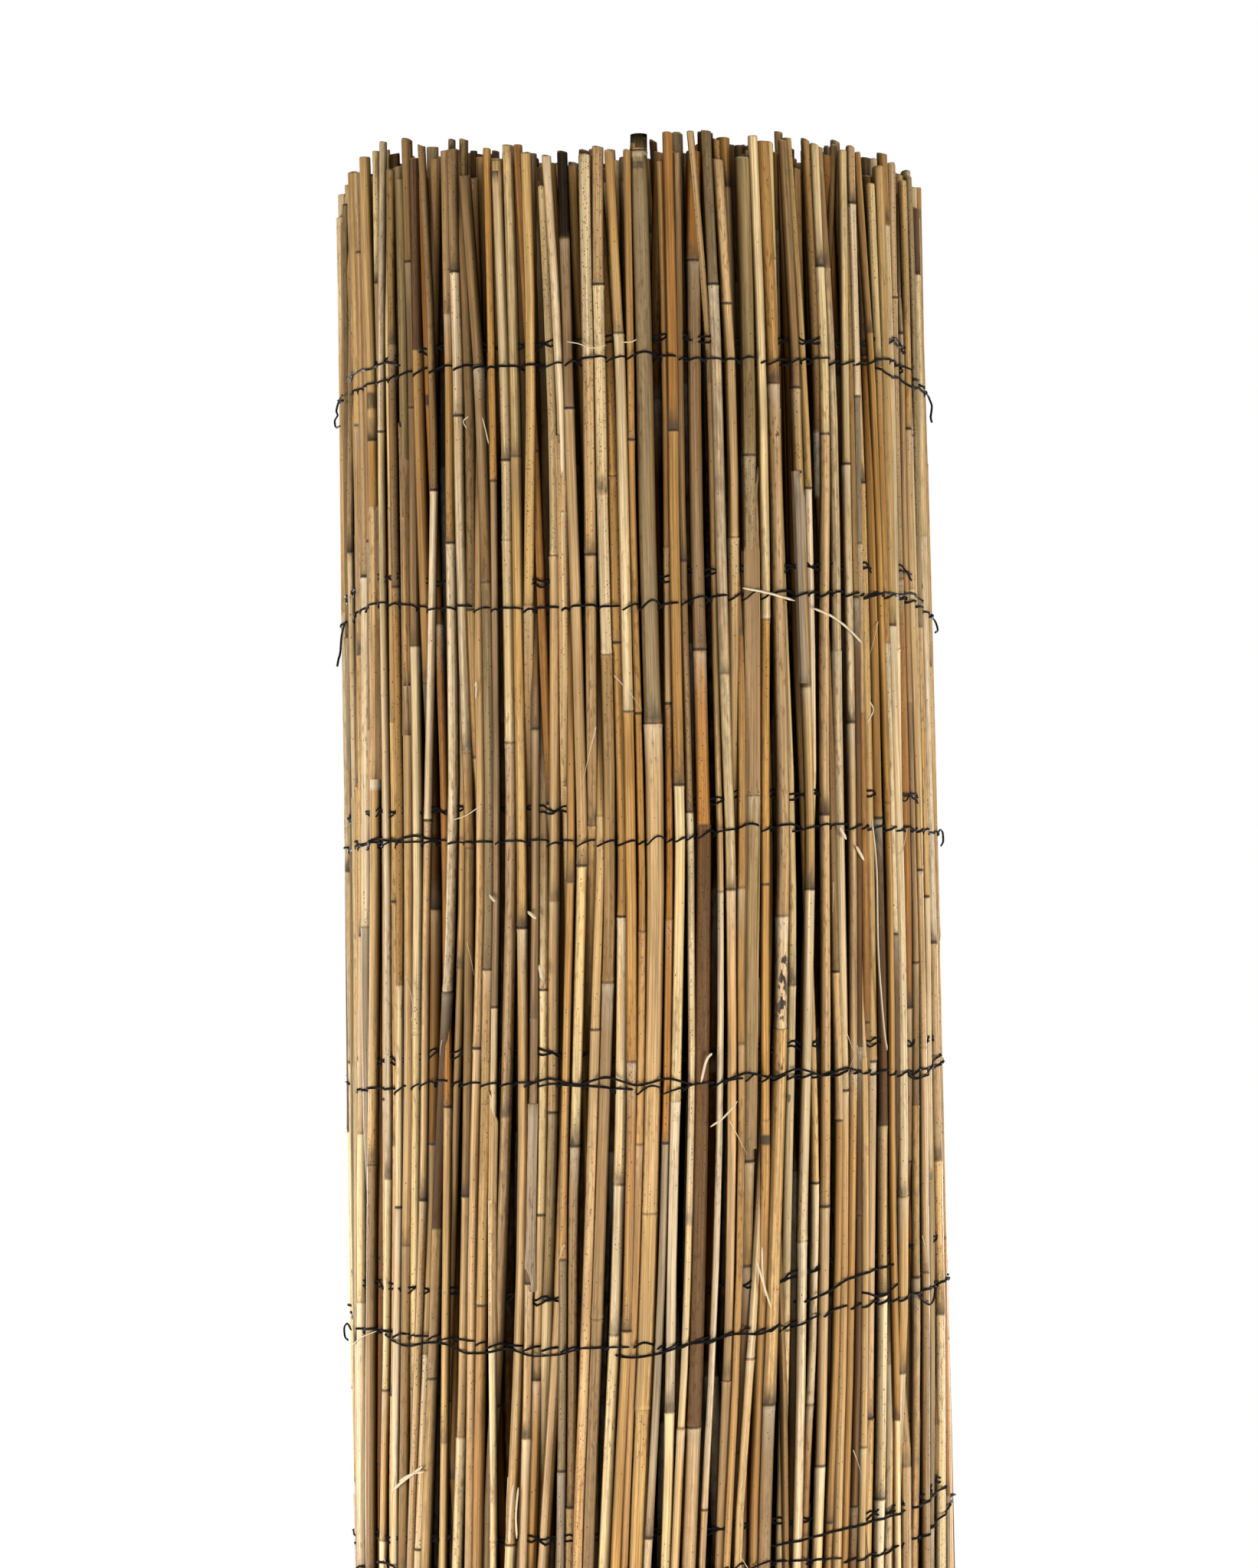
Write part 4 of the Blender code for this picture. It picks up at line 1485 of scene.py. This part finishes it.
def add_run(mesh: TubeMesh, path: np.ndarray, radius: float | np.ndarray, sides: int) -> None:
    """Adds a thin round tube along a path in any direction.

    Args:
        mesh: The mesh it goes into.
        path: The points of its middle.
        radius: Its radius, or one at each point.
        sides: How many sides it has.
    """
    count = len(path)
    along = np.gradient(path, axis=0)
    along /= np.maximum(np.linalg.norm(along, axis=1, keepdims=True), 1e-9)
    side = np.zeros((count, 3))
    start = np.cross(along[0], [0.0, 0.0, 1.0])
    if np.linalg.norm(start) < 0.3:
        start = np.cross(along[0], [1.0, 0.0, 0.0])
    side[0] = start / np.linalg.norm(start)
    for place in range(1, count):
        kept = side[place - 1] - along[place] * np.dot(side[place - 1], along[place])
        side[place] = kept / max(np.linalg.norm(kept), 1e-9)
    up = np.cross(along, side)
    around = np.arange(sides) * (2.0 * math.pi / sides)
    reach = np.broadcast_to(np.asarray(radius, dtype=float), (count,))[:, None, None]
    points = path[:, None, :] + reach * (
        side[:, None, :] * np.cos(around)[None, :, None] + up[:, None, :] * np.sin(around)[None, :, None]
    )
    tones = np.full(points.shape, 0.5)
    marks = np.zeros((count, sides, 5))
    mesh.add_loft(points, points, tones, marks)


@dataclass(frozen=True)
class Sheath:
    """A dry leaf sheath round a cane, from its node to a slanting or torn end."""

    cane: Cane
    node: float
    tip: float
    cover: float
    facing: float
    tone: Tone


@dataclass
class LeafSheaths:
    """The leaf sheaths that are left on the canes."""

    spiral: Spiral
    front: list[Cane]
    sides: list[Cane]
    seed: int = 23
    thickness: float = 0.00022
    rows: int = 9
    columns: int = 6

    def chosen(self) -> list[Sheath]:
        """Chooses the sheaths.

        Returns:
            Those seen on the front, and others drawn for the rest of the outer turn.
        """
        chance = random.Random(self.seed)
        made = []
        for bearing, node, tip, tone in SEEN_SHEATHS:
            cane = nearest_cane(self.front, self.spiral.wound_at(bearing), (node + tip) / 2.0)
            made.append(Sheath(cane, node, tip, 2.5, chance.uniform(-0.5, 0.5), tone))
        for cane in self.sides + self.front:
            fresh = cane in self.front
            for high, low in zip(cane.nodes, cane.nodes[1:]):
                if chance.random() > 0.16 or (fresh and high > 1.2):
                    continue
                up = chance.random() < 0.5
                reach = min(high - low, 0.22) * chance.uniform(0.45, 0.9)
                node, tip = (low, low + reach) if up else (high, high - reach)
                tone = chance.choice((Tone.GREY, Tone.TAN, Tone.OLIVE, Tone.STRAW))
                cover = chance.uniform(1.8, 2.7)
                made.append(Sheath(cane, node, tip, cover, chance.uniform(-0.8, 0.8), tone))
        return made

    def add(self, mesh: TubeMesh, sheath: Sheath, chance: random.Random) -> None:
        """Adds one sheath.

        Args:
            mesh: The mesh it goes into.
            sheath: The sheath.
            chance: The source of its differences.
        """
        part = np.linspace(0.0, 1.0, self.rows)
        z = sheath.node + (sheath.tip - sheath.node) * part
        if sheath.tip < sheath.node:
            z = z[::-1]
            part = part[::-1]
        wound = np.interp(z, LEVELS, sheath.cane.wound)
        depth = np.interp(z, LEVELS, sheath.cane.depth)
        centres = self.spiral.points(wound, depth, z)
        angles = self.spiral.free_edge + wound
        length = abs(sheath.tip - sheath.node)
        close = np.clip((1.0 - part) * length / 0.012, 0.06, 1.0)
        cover = sheath.cover * (0.35 + 0.65 * close)
        shift = sheath.facing + (1.0 - close) * chance.choice((-1.0, 1.0)) * sheath.cover * 0.55
        inner = sheath.cane.radius * sheath.cane.taper(z) + 0.00006 + 0.00030 * part**3
        inner = inner * (1.0 + 0.08 * np.exp(-((part * length / 0.004) ** 2)))
        columns = np.linspace(-1.0, 1.0, self.columns)
        around = shift[:, None] + cover[:, None] * columns[None, :]
        wave = 1.0 + 0.02 * np.sin(around * 5.0 + sheath.cane.seed * 9.0)
        outer_reach = (inner[:, None] + self.thickness) * wave
        loop_around = np.concatenate([around, around[:, ::-1]], axis=1)
        reach = np.concatenate([outer_reach, np.broadcast_to(inner[:, None], around.shape)[:, ::-1]], axis=1)
        out = reach * np.cos(loop_around)
        side = reach * np.sin(loop_around)
        cos = np.cos(angles)[:, None]
        sin = np.sin(angles)[:, None]
        x = centres[:, 0:1] + out * cos - side * sin
        y = centres[:, 1:2] + out * sin + side * cos
        zz = np.broadcast_to(z[:, None], x.shape)
        points = np.stack([x, y, zz], axis=-1)
        local = np.stack([out, side, zz], axis=-1) + GRAIN_SHIFT * (sheath.cane.seed + 2.0)
        base = np.array(sheath.tone.value) * chance.uniform(0.85, 1.1)
        tones = np.broadcast_to(base, (*x.shape, 3))
        marks = np.zeros((*x.shape, 5))
        at_node = 0.5 * np.exp(-((part * length / 0.004) ** 2))
        at_tip = 0.35 * np.exp(-(((1.0 - part) * length / 0.003) ** 2))
        marks[..., 0] = (at_node + at_tip)[:, None]
        marks[..., 2] = chance.choice((0.0, 0.15, 0.5))
        mesh.add_loft(points, local, tones, marks)

    def build(self, material: bpy.types.Material) -> bpy.types.Object:
        """Makes the piece of all the sheaths.

        Args:
            material: The finish of the sheaths.

        Returns:
            The piece.
        """
        chance = random.Random(self.seed + 1)
        mesh = TubeMesh("leaf_sheaths")
        chosen = self.chosen()
        for sheath in chosen:
            self.add(mesh, sheath, chance)
        LOG.info("leaf_sheaths: %d sheaths, %d triangles", len(chosen), mesh.triangles())
        return mesh.build(material)


@dataclass
class LooseFibres:
    """Pale threads and straws that lie loose on the canes."""

    spiral: Spiral
    seed: int = 31
    count: int = 110

    def build(self, material: bpy.types.Material) -> bpy.types.Object:
        """Makes the piece of all the fibres.

        Args:
            material: The finish of the fibres.

        Returns:
            The piece.
        """
        chance = random.Random(self.seed)
        mesh = TubeMesh("loose_fibres")
        for steps, width in SEEN_STRAWS:
            wound = np.array([self.spiral.wound_at(step[0]) for step in steps])
            out = np.array([step[1] for step in steps]) * MM
            z = np.array([step[2] for step in steps])
            path = rounded(self.spiral.points(wound, -out, z), 5)
            size = np.full(len(path), width * MM / 2.0)
            size[0] *= 0.4
            size[-1] *= 0.3
            add_run(mesh, path, size, 5)
        for _ in range(self.count):
            wound = chance.uniform(0.1, 2.0 * math.pi - 0.1)
            z = chance.uniform(0.05, 1.72)
            length = chance.uniform(0.006, 0.028)
            lean = chance.uniform(-0.8, 0.8)
            bend = chance.uniform(-1.0, 1.0)
            part = np.linspace(0.0, 1.0, 7)
            along = part * math.sin(lean) * length + bend * 0.2 * length * part**2
            run = wound + along / self.spiral.radius
            out = (-0.8 + 2.0 * part * (1.3 - part)) * MM
            height = z - part * math.cos(lean) * length
            path = self.spiral.points(run, -out, height)
            add_run(mesh, path, 0.00019 * (1.15 - part), 4)
        LOG.info("loose_fibres: %d triangles", mesh.triangles())
        return mesh.build(material)


class NodeBuilder:
    """Adds nodes to a material's tree with few words."""

    def __init__(self, name: str) -> None:
        """Makes a material with its shader and output.

        Args:
            name: The material's name.
        """
        self.material = bpy.data.materials.new(name)
        self.material.use_nodes = True
        self.tree = self.material.node_tree
        self.shader = self.tree.nodes["Principled BSDF"]

    def put(self, socket: bpy.types.NodeSocket, value: object) -> None:
        """Links a socket to an input, or sets a plain value on it.

        Args:
            socket: The input.
            value: Another node's output, or a plain value.
        """
        if isinstance(value, bpy.types.NodeSocket):
            self.tree.links.new(value, socket)
        else:
            socket.default_value = value

    def attribute(self, name: str, output: str = "Fac") -> bpy.types.NodeSocket:
        """The value of a mesh attribute.

        Args:
            name: The attribute's name.
            output: Which of the node's outputs is taken.

        Returns:
            The output.
        """
        node = self.tree.nodes.new("ShaderNodeAttribute")
        node.attribute_name = name
        return node.outputs[output]

    def math(
        self, operation: str, first: object, second: object = 0.0, third: object = 0.0
    ) -> bpy.types.NodeSocket:
        """A sum of one, two or three values.

        Args:
            operation: The kind of sum.
            first: The first value.
            second: The second value.
            third: The third value.

        Returns:
            The result.
        """
        node = self.tree.nodes.new("ShaderNodeMath")
        node.operation = operation
        for socket, value in zip(node.inputs, (first, second, third)):
            self.put(socket, value)
        return node.outputs[0]

    def ramp(
        self, value: object, low: float, high: float, to_low: float, to_high: float
    ) -> bpy.types.NodeSocket:
        """A value eased from one range to another, and held beyond it.

        Args:
            value: The value.
            low: Where its range starts.
            high: Where its range ends.
            to_low: The result at the start.
            to_high: The result at the end.

        Returns:
            The result.
        """
        node = self.tree.nodes.new("ShaderNodeMapRange")
        node.interpolation_type = "SMOOTHSTEP"
        for socket, given in zip(node.inputs, (value, low, high, to_low, to_high)):
            self.put(socket, given)
        return node.outputs[0]

    def mix(self, factor: object, first: object, second: object, kind: str = "MIX") -> bpy.types.NodeSocket:
        """Two colours mixed.

        Args:
            factor: How far the result goes from the first to the second.
            first: The first colour.
            second: The second colour.
            kind: How they are mixed.

        Returns:
            The mixed colour.
        """
        node = self.tree.nodes.new("ShaderNodeMix")
        node.data_type = "RGBA"
        node.blend_type = kind
        self.put(node.inputs["Factor"], factor)
        self.put(node.inputs[6], first)
        self.put(node.inputs[7], second)
        return node.outputs[2]

    def stretched(
        self, vector: bpy.types.NodeSocket, scale: tuple[float, float, float]
    ) -> bpy.types.NodeSocket:
        """A vector scaled on each axis.

        Args:
            vector: The vector.
            scale: The scale on each axis.

        Returns:
            The scaled vector.
        """
        node = self.tree.nodes.new("ShaderNodeMapping")
        node.inputs["Scale"].default_value = scale
        self.put(node.inputs["Vector"], vector)
        return node.outputs[0]

    def noise(
        self, vector: bpy.types.NodeSocket, scale: tuple[float, float, float], detail: float = 2.0
    ) -> bpy.types.NodeSocket:
        """Noise with a scale on each axis.

        Args:
            vector: The place.
            scale: The scale on each axis.
            detail: How many finer layers there are.

        Returns:
            The noise, about 0 to 1.
        """
        node = self.tree.nodes.new("ShaderNodeTexNoise")
        node.inputs["Scale"].default_value = 1.0
        node.inputs["Detail"].default_value = detail
        self.put(node.inputs["Vector"], self.stretched(vector, scale))
        return node.outputs["Fac"]

    def bump(self, height: bpy.types.NodeSocket, strength: float, distance: float) -> None:
        """Gives the shader fine relief.

        Args:
            height: The relief.
            strength: How strongly it shows.
            distance: How high it is, in metres.
        """
        node = self.tree.nodes.new("ShaderNodeBump")
        node.inputs["Strength"].default_value = strength
        node.inputs["Distance"].default_value = distance
        self.put(node.inputs["Height"], height)
        self.put(self.shader.inputs["Normal"], node.outputs[0])


@dataclass(frozen=True)
class CaneFinish:
    """Dry cane with a slight sheen, lengthwise grain, blotches, specks, dark node lines and pale bloom."""

    name: str = "cane"
    streaks: float = 0.34
    fibres: float = 0.21
    warmth: float = 0.55
    greying: float = 0.34
    mottling: float = 0.68
    sheen: float = 0.18
    roughness: tuple[float, float] = (0.40, 0.62)
    relief: float = 0.35
    stain: tuple[float, float, float, float] = (0.040, 0.028, 0.018, 1.0)
    smudge: tuple[float, float, float, float] = (0.115, 0.076, 0.042, 1.0)
    speck: tuple[float, float, float, float] = (0.045, 0.024, 0.012, 1.0)
    bloom: tuple[float, float, float, float] = (0.80, 0.70, 0.50, 1.0)
    cut: tuple[float, float, float, float] = (0.50, 0.36, 0.18, 1.0)
    warm_shade: tuple[float, float, float, float] = (1.00, 0.80, 0.52, 1.0)
    grey_shade: tuple[float, float, float, float] = (0.66, 0.63, 0.58, 1.0)
    dirt_shade: tuple[float, float, float, float] = (0.42, 0.33, 0.26, 1.0)
    worn_cut: tuple[float, float, float, float] = (0.24, 0.15, 0.07, 1.0)
    streak_scale: tuple[float, float, float] = (1300.0, 1300.0, 14.0)
    fibre_scale: tuple[float, float, float] = (4200.0, 4200.0, 60.0)
    warm_scale: tuple[float, float, float] = (160.0, 160.0, 13.0)
    grey_scale: tuple[float, float, float] = (110.0, 110.0, 21.0)
    rough_scale: tuple[float, float, float] = (520.0, 520.0, 170.0)
    weathered_scale: tuple[float, float, float] = (60.0, 60.0, 9.0)
    mottle_scale: tuple[float, float, float] = (900.0, 900.0, 230.0)
    mould_scale: tuple[float, float, float] = (420.0, 420.0, 230.0)
    speck_scale: tuple[float, float, float] = (1500.0, 1500.0, 1000.0)

    def build(self) -> bpy.types.Material:
        """Makes the material.

        Returns:
            The material.
        """
        make = NodeBuilder(self.name)
        grain = make.attribute("grain", "Vector")
        streak = make.noise(grain, self.streak_scale, 3.0)
        fibre = make.noise(grain, self.fibre_scale, 2.0)
        value = make.ramp(streak, 0.32, 0.68, 1.0 - self.streaks, 1.0 + self.streaks * 0.6)
        fine = make.ramp(fibre, 0.30, 0.70, 1.0 - self.fibres, 1.0 + self.fibres * 0.6)
        shade = make.math("MULTIPLY", value, fine)
        tone = make.attribute("tone", "Color")
        colour = make.mix(1.0, tone, shade, "MULTIPLY")
        warm = make.mix(1.0, colour, self.warm_shade, "MULTIPLY")
        warm_place = make.noise(grain, self.warm_scale, 3.0)
        colour = make.mix(make.ramp(warm_place, 0.50, 0.72, 0.0, self.warmth), colour, warm)
        grey_place = make.noise(grain, self.grey_scale, 4.0)
        greyed = make.mix(1.0, colour, self.grey_shade, "MULTIPLY")
        colour = make.mix(make.ramp(grey_place, 0.54, 0.74, 0.0, self.greying * 2.0), colour, greyed)
        rough_noise = make.noise(grain, self.rough_scale, 3.0)
        weathered = make.ramp(make.noise(grain, self.weathered_scale, 2.0), 0.46, 0.66, 0.10, 1.0)
        mottle = make.ramp(make.noise(grain, self.mottle_scale, 4.0), 0.52, 0.66, 0.0, self.mottling)
        dirt = make.mix(1.0, colour, self.dirt_shade, "MULTIPLY")
        colour = make.mix(make.math("MULTIPLY", weathered, mottle), colour, dirt)
        pale = make.math("MULTIPLY", make.attribute("bloom"), make.ramp(rough_noise, 0.25, 0.65, 0.35, 0.85))
        colour = make.mix(pale, colour, self.bloom)
        colour = make.mix(self.specks(make, grain), colour, self.speck)
        mould_noise = make.noise(grain, self.mould_scale, 2.0)
        mould = make.math("MULTIPLY", make.attribute("mould"), make.ramp(mould_noise, 0.50, 0.55, 0.0, 1.0))
        half_rough = make.math("MULTIPLY", rough_noise, 0.5)
        patchy = make.math("MULTIPLY_ADD", make.attribute("stain"), 0.75, half_rough)
        stain = make.ramp(patchy, 0.40, 0.92, 0.0, 0.95)
        soiled = make.mix(make.ramp(make.attribute("stain"), 0.45, 0.90, 0.0, 1.0), self.smudge, self.stain)
        end = make.mix(make.ramp(rough_noise, 0.35, 0.7, 0.0, 1.0), self.cut, self.worn_cut)
        colour = make.mix(make.attribute("cut"), colour, end)
        colour = make.mix(stain, colour, soiled)
        colour = make.mix(mould, colour, self.stain)
        make.put(make.shader.inputs["Base Color"], colour)
        rough = make.ramp(streak, 0.30, 0.70, self.roughness[0], self.roughness[1])
        worn = make.math("MAXIMUM", make.attribute("stain"), make.attribute("cut"))
        make.put(make.shader.inputs["Roughness"], make.math("MULTIPLY_ADD", worn, 0.3, rough))
        split = make.tree.nodes.new("ShaderNodeSeparateColor")
        make.put(split.inputs[0], tone)
        sheen = make.ramp(split.outputs[0], 0.02, 0.30, 0.0, self.sheen)
        make.put(make.shader.inputs["Specular IOR Level"], sheen)
        height = make.math("MULTIPLY_ADD", streak, 0.7, make.math("MULTIPLY", fibre, 0.3))
        make.bump(height, self.relief, 0.00018)
        return make.material

    def specks(self, make: NodeBuilder, grain: bpy.types.NodeSocket) -> bpy.types.NodeSocket:
        """Small dark dots, as many as the speck mark says.

        Args:
            make: The cane's material.
            grain: The place in the cane's grain.

        Returns:
            How strongly a dot shows.
        """
        node = make.tree.nodes.new("ShaderNodeTexVoronoi")
        node.inputs["Scale"].default_value = 1.0
        make.put(node.inputs["Vector"], make.stretched(grain, self.speck_scale))
        parts = make.tree.nodes.new("ShaderNodeSeparateColor")
        make.put(parts.inputs[0], node.outputs["Color"])
        share = make.math("MULTIPLY_ADD", make.attribute("speck"), 0.50, 0.010)
        there = make.math("LESS_THAN", parts.outputs[0], share)
        size = make.math("MULTIPLY_ADD", parts.outputs[1], 0.28, 0.12)
        inside = make.math("LESS_THAN", node.outputs["Distance"], size)
        return make.math("MULTIPLY", make.math("MULTIPLY", there, inside), 0.85)


@dataclass(frozen=True)
class WireFinish:
    """Thin annealed black wire with a little rust."""

    name: str = "black_wire"
    base: tuple[float, float, float, float] = (0.006, 0.006, 0.006, 1.0)
    rust: tuple[float, float, float, float] = (0.030, 0.014, 0.008, 1.0)
    metallic: float = 0.0
    sheen: float = 0.05

    def build(self) -> bpy.types.Material:
        """Makes the material.

        Returns:
            The material.
        """
        make = NodeBuilder(self.name)
        grain = make.attribute("grain", "Vector")
        patches = make.noise(grain, (260.0, 260.0, 260.0), 3.0)
        colour = make.mix(make.ramp(patches, 0.58, 0.74, 0.0, 0.6), self.base, self.rust)
        make.put(make.shader.inputs["Base Color"], colour)
        make.put(make.shader.inputs["Roughness"], make.ramp(patches, 0.3, 0.7, 0.40, 0.62))
        make.shader.inputs["Metallic"].default_value = self.metallic
        make.shader.inputs["Specular IOR Level"].default_value = self.sheen
        make.bump(patches, 0.15, 0.0001)
        return make.material


@dataclass(frozen=True)
class FibreFinish:
    """Pale dry plant fibre."""

    name: str = "pale_fibre"

    def build(self) -> bpy.types.Material:
        """Makes the material.

        Returns:
            The material.
        """
        make = NodeBuilder(self.name)
        grain = make.attribute("grain", "Vector")
        patches = make.noise(grain, (700.0, 700.0, 90.0), 2.0)
        colour = make.mix(patches, (0.74, 0.64, 0.45, 1.0), (0.52, 0.40, 0.22, 1.0))
        make.put(make.shader.inputs["Base Color"], colour)
        make.shader.inputs["Roughness"].default_value = 0.7
        make.bump(patches, 0.2, 0.0001)
        return make.material


@dataclass(frozen=True)
class Lamp:
    """A square soft light."""

    name: str
    place: tuple[float, float, float]
    aim: tuple[float, float, float]
    size: float
    power: float

    def build(self) -> None:
        """Puts the light in the scene."""
        data = bpy.data.lights.new(self.name, "AREA")
        data.size = self.size
        data.energy = self.power
        made = bpy.data.objects.new(self.name, data)
        made.location = self.place
        made.visible_camera = False
        made.rotation_mode = "QUATERNION"
        made.rotation_quaternion = (Vector(self.aim) - Vector(self.place)).to_track_quat("-Z", "Y")
        bpy.context.scene.collection.objects.link(made)


@dataclass
class Studio:
    """The camera at the photograph's view, the lights, the floor and the white behind."""

    spiral: Spiral
    eye_height: float = 1.5107
    distance: float = 1.59
    focal_px: float = 4664.0
    long_side_px: float = 2046.0
    axis_right_px: float = 20.5
    horizon_below_px: float = 47.0
    lean: float = 0.0182
    lamps: tuple[Lamp, ...] = (
        Lamp("key_front", (-0.18, -2.05, 1.20), (0.0, 0.0, 1.00), 0.45, 9.2),
        Lamp("key_left", (-1.04, -0.74, 0.92), (0.0, 0.0, 1.05), 0.50, 18.6),
        Lamp("key_right", (1.08, -0.72, 0.94), (0.0, 0.0, 1.05), 0.50, 18.2),
        Lamp("back_left", (-0.98, 1.45, 1.10), (0.0, 0.0, 0.9), 0.7, 27.0),
        Lamp("back_right", (0.98, 1.50, 1.10), (0.0, 0.0, 0.9), 0.7, 26.0),
        Lamp("overhead", (0.25, -0.20, 3.30), (0.0, 0.0, 1.8), 0.9, 14.0),
    )
    ambient: float = 0.04
    sensor_mm: float = 36.0
    floor_radius: float = 9.0
    floor_height: float = -0.0005
    floor_sides: int = 96
    floor_tones: tuple[tuple[float, float, float, float], ...] = (
        (0.80, 0.80, 0.79, 1.0),
        (0.86, 0.86, 0.85, 1.0),
    )
    floor_white: tuple[float, float] = (0.35, 1.5)

    def add_camera(self) -> None:
        """Puts the camera in front of the roll, looking a little up and to the left of its axis."""
        data = bpy.data.cameras.new("camera")
        data.sensor_width = self.sensor_mm
        data.lens = self.focal_px * self.sensor_mm / self.long_side_px
        data.clip_start = 0.05
        data.clip_end = 50.0
        camera = bpy.data.objects.new("camera", data)
        bpy.context.scene.collection.objects.link(camera)
        x, y = self.spiral.axis
        camera.location = (x, y - self.distance, self.eye_height)
        leftwards = -self.axis_right_px / self.focal_px
        upwards = self.horizon_below_px / self.focal_px
        ahead = Vector((leftwards, 1.0, upwards)).normalized()
        up = Vector((self.lean, 0.0, 1.0))
        right = ahead.cross(up).normalized()
        up = right.cross(ahead).normalized()
        turned = Matrix((right, up, -ahead)).transposed()
        camera.rotation_mode = "QUATERNION"
        camera.rotation_quaternion = turned.to_quaternion()
        bpy.context.scene.camera = camera

    def add_floor(self) -> None:
        """Lays a pale floor under the roll."""
        mesh = bpy.data.meshes.new("floor")
        size, low, sides = self.floor_radius, self.floor_height, self.floor_sides
        turns = np.linspace(0.0, 2.0 * math.pi, sides + 1)[:-1]
        rim = [(size * math.cos(turn), size * math.sin(turn), low) for turn in turns]
        faces = [(0, i + 1, (i + 1) % sides + 1) for i in range(sides)]
        mesh.from_pydata([(0.0, 0.0, low)] + rim, [], faces)
        make = NodeBuilder("pale_floor")
        place = make.tree.nodes.new("ShaderNodeTexCoord").outputs["Object"]
        cloud = make.noise(place, (3.0, 3.0, 3.0), 3.0)
        make.put(make.shader.inputs["Base Color"], make.mix(cloud, *self.floor_tones))
        make.shader.inputs["Roughness"].default_value = 0.8
        self.whiten_far_floor(make, place)
        mesh.materials.append(make.material)
        floor = bpy.data.objects.new("floor", mesh)
        bpy.context.scene.collection.objects.link(floor)

    def whiten_far_floor(self, make: NodeBuilder, place: bpy.types.NodeSocket) -> None:
        """Lets the floor turn white to the eye away from the roll, where no shadow falls.

        Args:
            make: The floor's material.
            place: The point of the floor.
        """
        tree = make.tree
        length = tree.nodes.new("ShaderNodeVectorMath")
        length.operation = "LENGTH"
        make.put(length.inputs[0], place)
        path = tree.nodes.new("ShaderNodeLightPath")
        far = make.ramp(length.outputs["Value"], *self.floor_white, 0.0, 1.0)
        white = tree.nodes.new("ShaderNodeEmission")
        mixed = tree.nodes.new("ShaderNodeMixShader")
        seen = make.math("MAXIMUM", path.outputs["Is Camera Ray"], path.outputs["Is Glossy Ray"])
        seen = make.math("MAXIMUM", seen, path.outputs["Is Transmission Ray"])
        make.put(mixed.inputs[0], make.math("MULTIPLY", far, seen))
        make.put(mixed.inputs[1], make.shader.outputs[0])
        make.put(mixed.inputs[2], white.outputs[0])
        make.put(tree.nodes["Material Output"].inputs["Surface"], mixed.outputs[0])

    def add_world(self) -> None:
        """A white world to the eye and to reflections, and a plain soft light to everything else."""
        world = bpy.data.worlds.new("white_room")
        world.use_nodes = True
        tree = world.node_tree
        background = tree.nodes["Background"]
        background.inputs["Color"].default_value = (1.0, 1.0, 1.0, 1.0)
        path = tree.nodes.new("ShaderNodeLightPath")
        seen = path.outputs["Is Camera Ray"]
        for name in ("Is Glossy Ray", "Is Transmission Ray"):
            either = tree.nodes.new("ShaderNodeMath")
            either.operation = "MAXIMUM"
            tree.links.new(seen, either.inputs[0])
            tree.links.new(path.outputs[name], either.inputs[1])
            seen = either.outputs[0]
        strength = tree.nodes.new("ShaderNodeMapRange")
        tree.links.new(seen, strength.inputs["Value"])
        strength.inputs["To Min"].default_value = self.ambient
        strength.inputs["To Max"].default_value = 1.0
        tree.links.new(strength.outputs[0], background.inputs["Strength"])
        bpy.context.scene.world = world

    def build(self) -> None:
        """Sets up the camera, lights, floor and world."""
        self.add_camera()
        self.add_floor()
        self.add_world()
        for lamp in self.lamps:
            lamp.build()
        bpy.context.scene.view_settings.view_transform = "Standard"


def corners(box: tuple[Vector, Vector]) -> list[list[float]]:
    """A box as plain lists of numbers."""
    return [list(box[0]), list(box[1])]


def main() -> None:
    """Builds the roll's pieces and the studio."""
    logging.basicConfig(level=logging.INFO, format="%(name)s: %(message)s")
    spiral = Spiral()
    cane = CaneFinish().build()
    mat = Mat(spiral)
    mat.lay_out()
    pieces = mat.build(cane)
    for piece in pieces:
        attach(piece, "root")
    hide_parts("cane_roll")
    sheath_finish = CaneFinish(
        name="leaf_sheath",
        streaks=0.30,
        fibres=0.22,
        warmth=0.25,
        greying=0.45,
        roughness=(0.62, 0.85),
        relief=0.55,
    )
    sheaths = LeafSheaths(spiral, mat.front, mat.sides).build(sheath_finish.build())
    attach(sheaths, "root")
    fibres = LooseFibres(spiral).build(FibreFinish().build())
    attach(fibres, "root")
    rows = WireRows(spiral, mat.front + mat.sides, mat.behind, frame["nodes"])
    for piece in rows.build(WireFinish().build()):
        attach(piece, "root")
    Studio(spiral).build()
    LOG.info("size file written")


if __name__ == "__main__":
    main()
